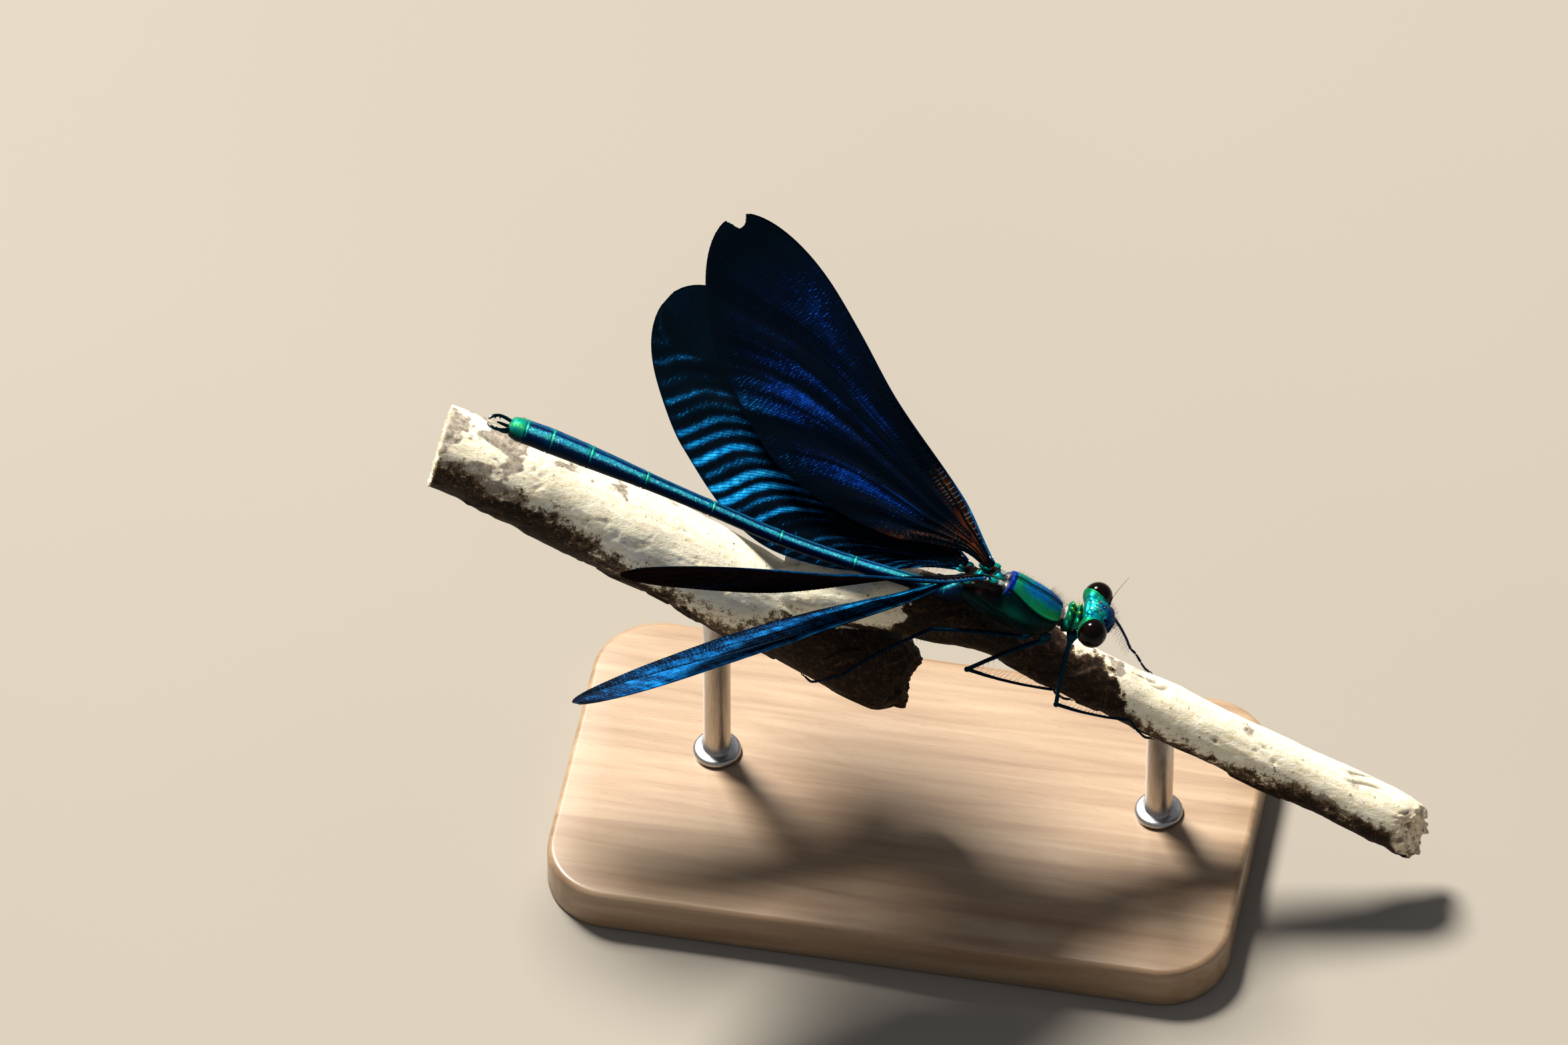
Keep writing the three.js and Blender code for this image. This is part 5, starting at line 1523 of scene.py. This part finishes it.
LEGS = {
    "fore_right": ([3.55, -0.75, -0.95], [2.49, -2.8, -6.8], [7.6, -1.2, -9.25], ("twig", 9.7, 140)),
    "mid_right": ([1.75, -0.95, -1.75], [-3.97, -3.1, -4], [2.05, -1.45, -6.8], ("twig", 3.9, 142)),
    "hind_right": ([0.4, -1.15, -1.85], [-6.77, -1.95, -1.5], [-13.2, -2.8, -6.9], ("stem", -14.8, 140)),
    "fore_left": ([3.55, 0.75, -0.95], [5.5, 2.5, -2.3], [6.85, 3.25, -6.6], ("twig", 7.75, 60)),
    "mid_left": ([1.75, 0.95, -1.75], [-2.3, 4.7, -3.2], [1.6, 3.9, -5.9], ("twig", 3.6, 84)),
    "hind_left": ([0.4, 1.15, -1.85], [-6, 4.5, -1.6], [-11, 4.35, -2.3], ("twig", -13, 84)),
}


def curve(points, count):
    """A smooth line through points, with count points of its own."""
    points = np.asarray(points, float)
    s = np.concatenate([[0], np.cumsum(np.linalg.norm(np.diff(points, axis=0), axis=1))])
    fine = np.linspace(0, s[-1], count)
    return through(points, s, fine)


def bowed(start, a, b, flex, share):
    """The middle line of a leg part between joints a and b, bent a little away from flex."""
    bow = np.linalg.norm(b - a) * share
    return curve([start, a * 0.66 + b * 0.34 - flex * bow, a * 0.33 + b * 0.67 - flex * bow, b], 50)


def on_path(path, index):
    """Points of a path at places counted along its list."""
    return np.stack([np.interp(index, np.arange(len(path)), path[:, k]) for k in range(3)], -1)


def limb(line, radii, sides=18, squash=0.85, around=(0, 0, 1), seed=0):
    """A closed leg part along a line; radii are spread evenly over its length."""
    share = np.linspace(0, 1, len(line))
    size = np.interp(share, np.linspace(0, 1, len(radii)), radii)
    size = size * np.sqrt(np.clip(1 - (1 - np.clip(np.minimum(share, 1 - share) / 0.012, 0, 1)) ** 2, 0.1, 1))
    rings = tube_rings(line, size, sides, around, squash)
    return capped_grid(rings + 0.01 * noise(rings, 0.3, 141 + seed)[..., None])


def make_legs(skin, hair):
    """Six legs from hip to claws, with their rows of spines."""
    for seed, (name, (hip, knee, ankle, (wood, at, degrees))) in enumerate(LEGS.items()):
        side = 1 if hip[1] > 0 else -1
        line = WOOD[wood]
        hip, knee, ankle = display(hip), np.array(knee, float), np.array(ankle, float)
        coxa = display([0, -side * 0.35, 0.55]) + hip

        def on_wood(x, turn, height):
            x = float(x)
            return line.round(x, side * turn, line.size(x) * uneven(x, side * turn % 360) + height)

        backwards = np.sign(at - ankle[0])
        toe = on_wood(at, degrees, 0.1)
        sole = on_wood(at - 0.45 * backwards, degrees - 10, 0.2)
        heel = ankle + (sole - ankle) * 0.35 + unit(ankle - line.at(ankle[0])) * 0.12
        bend = unit(np.cross(knee - hip, ankle - knee))
        thigh_way, shin_way = unit(knee - hip), unit(ankle - knee)
        flex_thigh = unit((ankle - knee) - thigh_way * thigh_way.dot(ankle - knee))
        flex_shin = unit((hip - knee) - shin_way * shin_way.dot(hip - knee))
        thigh = bowed(hip, hip, knee, flex_thigh, 0.02)
        shin = bowed(knee - thigh_way * 0.02, knee, ankle, flex_shin, 0.025)
        foot = curve([ankle, heel, sole, toe], 40)
        down = unit(line.at(at) - toe)
        base = curve([coxa, (coxa + hip) / 2 + down * 0.05, hip + thigh_way * 0.12], 16)
        ring = curve([hip - thigh_way * 0.1, hip + thigh_way * 0.3], 10)
        bodies = [
            limb(base, [0.46, 0.5, 0.4, 0.26], 24, 0.95, seed=seed),
            limb(ring, [0.27, 0.29, 0.23], 20, 0.95, seed=seed),
            limb(thigh, [0.2, 0.215, 0.205, 0.19, 0.175, 0.17, 0.19], 18, 0.82, bend, seed),
            ball(knee, [0.2, 0.2, 0.2], 22, 14),
        ]
        shins = [limb(shin, [0.16, 0.145, 0.125, 0.115, 0.11, 0.11, 0.125], 16, 0.85, bend, seed)]
        thirds = [0, 9, 21, 39]
        feet = [limb(foot[a:b + 1], [0.075, 0.085, 0.095, 0.1, 0.08], 14, 0.85, seed=seed)
                for a, b in zip(thirds, thirds[1:])]
        ahead = unit(foot[-1] - foot[-4])
        across = unit(np.cross(ahead, down))
        for turn in (1, -1):
            claw = curve([toe - ahead * 0.03,
                          toe + ahead * 0.14 + across * turn * 0.09 - down * 0.03,
                          toe + ahead * 0.27 + across * turn * 0.17 + down * 0.04,
                          toe + ahead * 0.33 + across * turn * 0.2 + down * 0.17], 16)
            feet.append(limb(claw, [0.05, 0.042, 0.03, 0.012], 10, 1.0, seed=seed))
        for part, group in (("femur", bodies), ("tibia", shins), ("tarsus", feet)):
            points, faces = gather(group)
            marks = blank(points, tone=0.3 if part == "femur" else 0.2)
            near_hip = bell(np.linalg.norm(points - hip, axis=1), 0.9)
            marks["shade"] = np.clip(0.035 + 0.03 * noise(points, 0.6, 151)
                                     + 0.05 * near_hip * (part == "femur"), 0.015, 1)
            node = "%s_%s" % (part, name)
            piece(node + "_shell", points, faces, skin, [node], where=None, marks=marks)

        roots, ways, lengths = [], [], []
        for path, flex, size, first, last, apart, longest in (
                (thigh, flex_thigh, 0.17, 0.2, 0.97, 0.36, 0.5),
                (shin, flex_shin, 0.1, 0.04, 0.96, 0.3, 0.85)):
            total = np.linalg.norm(np.diff(path, axis=0), axis=1).sum()
            count = int((last - first) * total / apart)
            number = np.arange(count)
            for row in (1, -1):
                s = number + 0.3 * scatter(number, row + 2, seed)
                s = first + (last - first) * s / max(count - 1, 1)
                index = np.clip(s * (len(path) - 1), 0, len(path) - 1)
                p = on_path(path, index)
                axis = unit(path[-1] - path[0])
                way = unit(flex * 0.85 + row * 0.28 * unit(np.cross(axis, flex)) + axis * 0.45)
                jitter = np.stack([scatter(number, row + 2, seed, k) - 0.5 for k in (1, 2, 3)], -1) * 0.16
                roots.append(p + way * size * 0.6)
                ways.append(way + jitter)
                lengths.append(longest * (0.75 + 0.35 * np.sin(np.pi * np.clip(s, 0, 1)))
                               * (0.85 + 0.3 * scatter(number, 9, seed)))
        count = 22
        spread = (unit(np.cross(unit(foot[-1] - foot[0]), down))
                  * np.where(np.arange(count) % 2, 1, -1)[:, None])
        roots.append(on_path(foot, np.linspace(2, len(foot) - 4, count)))
        ways.append(unit(spread * 0.7 + down * 0.6))
        lengths.append(np.full(count, 0.22))
        roots, ways, lengths = np.concatenate(roots), np.concatenate(ways), np.concatenate(lengths)
        hairs("spines_" + name, roots, ways, lengths, SPINE, hair, bend=shin_way * 0.08,
              where=None, bake_at=np.stack([0.02 + 0.94 * np.linspace(0, 1, len(roots)),
                                            np.full(len(roots), 0.5)], -1), steps=2)


def wood_paint():
    paint = Paint("bleached_twig", Roughness=0.75, Specular_IOR_Level=0.15)
    along = paint.turned(-27, (0.14, 1, 1))
    fibre = paint.noise(2.6, 6, 0.6, along)
    fine = paint.noise(9.0, 4, 0.65, along)
    blotch = paint.noise(0.55, 5, 0.62)
    fleck = paint.noise(2.4, 5, 0.7)
    cream = paint.ramp(fibre,
                       [(0.22, (0.66, 0.52, 0.31)), (0.42, (0.86, 0.78, 0.57)), (0.7, (0.93, 0.89, 0.74))])
    cream = paint.mix(paint.ramp(fine, [(0.48, 0.0), (0.75, 0.4)]), cream, (0.5, 0.37, 0.22))
    grey = paint.ramp(fleck,
                      [(0.3, (0.05, 0.04, 0.035)), (0.5, (0.24, 0.2, 0.165)), (0.7, (0.5, 0.44, 0.36))])
    brown = paint.ramp(fleck,
                       [(0.3, (0.003, 0.0018, 0.001)), (0.52, (0.014, 0.007, 0.0035)),
                        (0.75, (0.1, 0.05, 0.02))])
    grit = paint.sums("ADD", paint.times(fleck, 0.6), paint.times(paint.noise(7, 4, 0.7), 0.4))
    # The dark mark, partly bark and partly painted shade and the insect's painted shadow, turns the wood tan
    # and then dark brown.
    edge = paint.sums("ADD", paint.mark("dark"), paint.spread(grit, 0.5, 3.0))
    stain_and_shade = paint.sums("ADD", paint.mark("stain_and_shade"), paint.spread(blotch, 0.52, 1.2))
    colour = paint.mix(paint.ramp(stain_and_shade, [(0.32, 0.0), (0.55, 0.9)]), cream, grey)
    tan = paint.ramp(fleck,
                     [(0.3, (0.04, 0.022, 0.01)), (0.52, (0.2, 0.13, 0.07)), (0.75, (0.46, 0.34, 0.2))])
    colour = paint.mix(paint.ramp(edge, [(0.2, 0.0), (0.5, 1.0)]), colour, tan)
    colour = paint.mix(paint.ramp(edge, [(0.45, 0.0), (0.8, 1.0)]), colour, brown)
    dots = paint.ramp(paint.cells(2.2), [(0.14, 1.0), (0.24, 0.0)])
    dots = paint.times(dots, paint.ramp(edge, [(0.02, 0.0), (0.3, 0.95)]))
    dots = paint.times(dots, paint.ramp(grit, [(0.4, 0.0), (0.52, 1.0)]))
    colour = paint.mix(dots, colour, (0.008, 0.004, 0.002))
    cut = paint.ramp(fleck,
                     [(0.3, (0.22, 0.15, 0.085)), (0.48, (0.66, 0.55, 0.38)), (0.65, (0.88, 0.82, 0.66))])
    colour = paint.mix(paint.mark("cut"), colour, cut)
    colour = paint.mix(paint.ramp(paint.mark("crack"), [(0.2, 0.0), (0.8, 0.7)]), colour,
                       (0.02, 0.012, 0.008))
    paint.colour(colour)
    paint.rough(fleck, 0.6, 0.92)
    paint.bump(fine, 0.05, 0.5)
    paint.bump(fleck, 0.08, 0.6)
    return paint.material


def beech_paint():
    paint = Paint("satin_beech", Roughness=0.42, Coat_Weight=0.25, Coat_Roughness=0.25)
    along = paint.turned(0, (0.05, 0.7, 0.7))
    growth = paint.noise(1.1, 4, 0.55, along, 0.6)
    pores = paint.noise(7, 3, 0.6, paint.turned(0, (0.16, 1.6, 1)))
    colour = paint.ramp(growth,
                        [(0.3, (0.24, 0.145, 0.08)), (0.5, (0.31, 0.2, 0.115)), (0.7, (0.37, 0.26, 0.16))])
    flecks = paint.ramp(pores, [(0.62, 0.0), (0.72, 0.55)])
    paint.colour(paint.mix(flecks, colour, (0.17, 0.095, 0.045)))
    paint.rough(growth, 0.36, 0.5)
    paint.bump(pores, 0.02, 0.4)
    return paint.material


def steel_paint():
    paint = Paint("brushed_steel", Metallic=1.0, Roughness=0.3)
    brushed = paint.noise(14, 3, 0.6, paint.turned(0, (1, 1, 0.06)))
    paint.colour(paint.between(brushed, (0.42, 0.42, 0.43), (0.62, 0.62, 0.62)))
    paint.rough(brushed, 0.22, 0.4)
    paint.bump(brushed, 0.006, 0.5)
    return paint.material


def eye_paint():
    paint = Paint("eye", Roughness=0.12, Specular_IOR_Level=0.11)
    bands = paint.between(paint.noise(0.9, 3), (0.0012, 0.0008, 0.0008), (0.004, 0.0016, 0.001))
    lower = paint.between(paint.noise(0.7, 3), (0.003, 0.001, 0.0006), (0.01, 0.004, 0.002))
    paint.colour(paint.mix(paint.mark("shade"), bands, lower))
    lenses = paint.cells(30)
    paint.rough(lenses, 0.1, 0.15)
    paint.bump(lenses, 0.0015, 0.25)
    return paint.material


def ocellus_paint():
    paint = Paint("ocellus", Roughness=0.08, Coat_Weight=0.8, Coat_Roughness=0.04)
    paint.colour(paint.between(paint.noise(5, 2), (0.02, 0.014, 0.01), (0.09, 0.07, 0.05)))
    paint.bump(paint.noise(12, 2), 0.002, 0.4)
    return paint.material


def bristle_paint():
    paint = Paint("bristles", Roughness=0.45)
    paint.colour(paint.between(paint.noise(6, 2), (0.004, 0.003, 0.003), (0.03, 0.018, 0.012)))
    paint.rough(paint.noise(9, 2), 0.35, 0.6)
    return paint.material


# ---- the whole model

shiny = cuticle_paint("cuticle", metal=0.6)
bristle = bristle_paint()
# The tail's pale tones colour its painted cyan sparkle highlights.
tail = cuticle_paint("tail_cuticle", grain=24.0, gloss=(0.28, 0.45), speckle=0.7, metal=0.5,
                     pale_tones=((0.01, 0.5, 0.66), (0.35, 0.95, 0.86)), dotted=True)
limbs = cuticle_paint("limb_cuticle", grain=12.0, grain_bump=0.01, speckle=0.3)
make_wings()
make_thorax(shiny, bristle)
make_prothorax(shiny, bristle)
make_abdomen(tail, bristle)
make_claspers(limbs)
make_head(shiny, {"eye": eye_paint(), "ocellus": ocellus_paint()}, bristle)
make_wing_bases(shiny)
make_legs(limbs, bristle)
make_perch(wood_paint())
make_stand(beech_paint(), steel_paint())

# ---- floor, light and camera


FLOOR_HALF = 3.0  # metres
AIM_FROM_THORAX = [-18.08, 1.26, 4.08]  # millimetres
KEY_WAY, KEY_DISTANCE, KEY_SIZE, KEY_POWER = (-0.4, 0.4, 0.82), 2, 0.6, 114.0
SKY_STRENGTH = 0.24
AZIMUTH, ELEVATION, CAMERA_DISTANCE, LENS = math.radians(10.5), math.radians(48), 1.245, 400


def aimed(name, data, at, towards):
    """An object that looks at a point."""
    thing = linked(name, data)
    thing.location = at
    thing.rotation_euler = (Vector(towards) - Vector(at)).to_track_quat("-Z", "Y").to_euler()
    return thing


floor_mesh = bpy.data.meshes.new("floor")
floor_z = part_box("stand_base")[0].z
floor_corners = [(x * FLOOR_HALF, y * FLOOR_HALF, floor_z) for x, y in ((-1, -1), (1, -1), (1, 1), (-1, 1))]
floor_mesh.from_pydata(floor_corners, [], [(0, 1, 2, 3)])
floor_object = linked("floor", floor_mesh)
floor_look = Paint("floor", Roughness=0.95, Specular_IOR_Level=0.1)
floor_look.colour(floor_look.between(floor_look.noise(0.01, 2), (0.285, 0.26, 0.225), (0.3, 0.275, 0.24)))
floor_mesh.materials.append(floor_look.material)

aim = Vector((THORAX_AT + AIM_FROM_THORAX) / MM)
key = bpy.data.lights.new("key", "AREA")
key.shape, key.size, key.energy, key.color = "DISK", KEY_SIZE, KEY_POWER, (1.0, 0.955, 0.87)
aimed("key", key, aim + Vector(KEY_WAY).normalized() * KEY_DISTANCE, aim)
world = bpy.data.worlds.new("studio")
world.use_nodes = True
world.node_tree.nodes["Background"].inputs["Color"].default_value = (0.92, 0.94, 1.0, 1)
world.node_tree.nodes["Background"].inputs["Strength"].default_value = SKY_STRENGTH
bpy.context.scene.world = world
bpy.context.scene.view_settings.view_transform = "Standard"

back = Vector((math.sin(AZIMUTH) * math.cos(ELEVATION), -math.cos(AZIMUTH) * math.cos(ELEVATION),
               math.sin(ELEVATION)))
camera_data = bpy.data.cameras.new("camera")
camera_data.lens, camera_data.sensor_width, camera_data.sensor_fit = LENS, 36, "HORIZONTAL"
camera_data.clip_start, camera_data.clip_end = 0.01, 20
camera = linked("camera", camera_data)
camera.location = aim + back * CAMERA_DISTANCE
camera.rotation_euler = back.to_track_quat("Z", "Y").to_euler()
bpy.context.scene.camera = camera
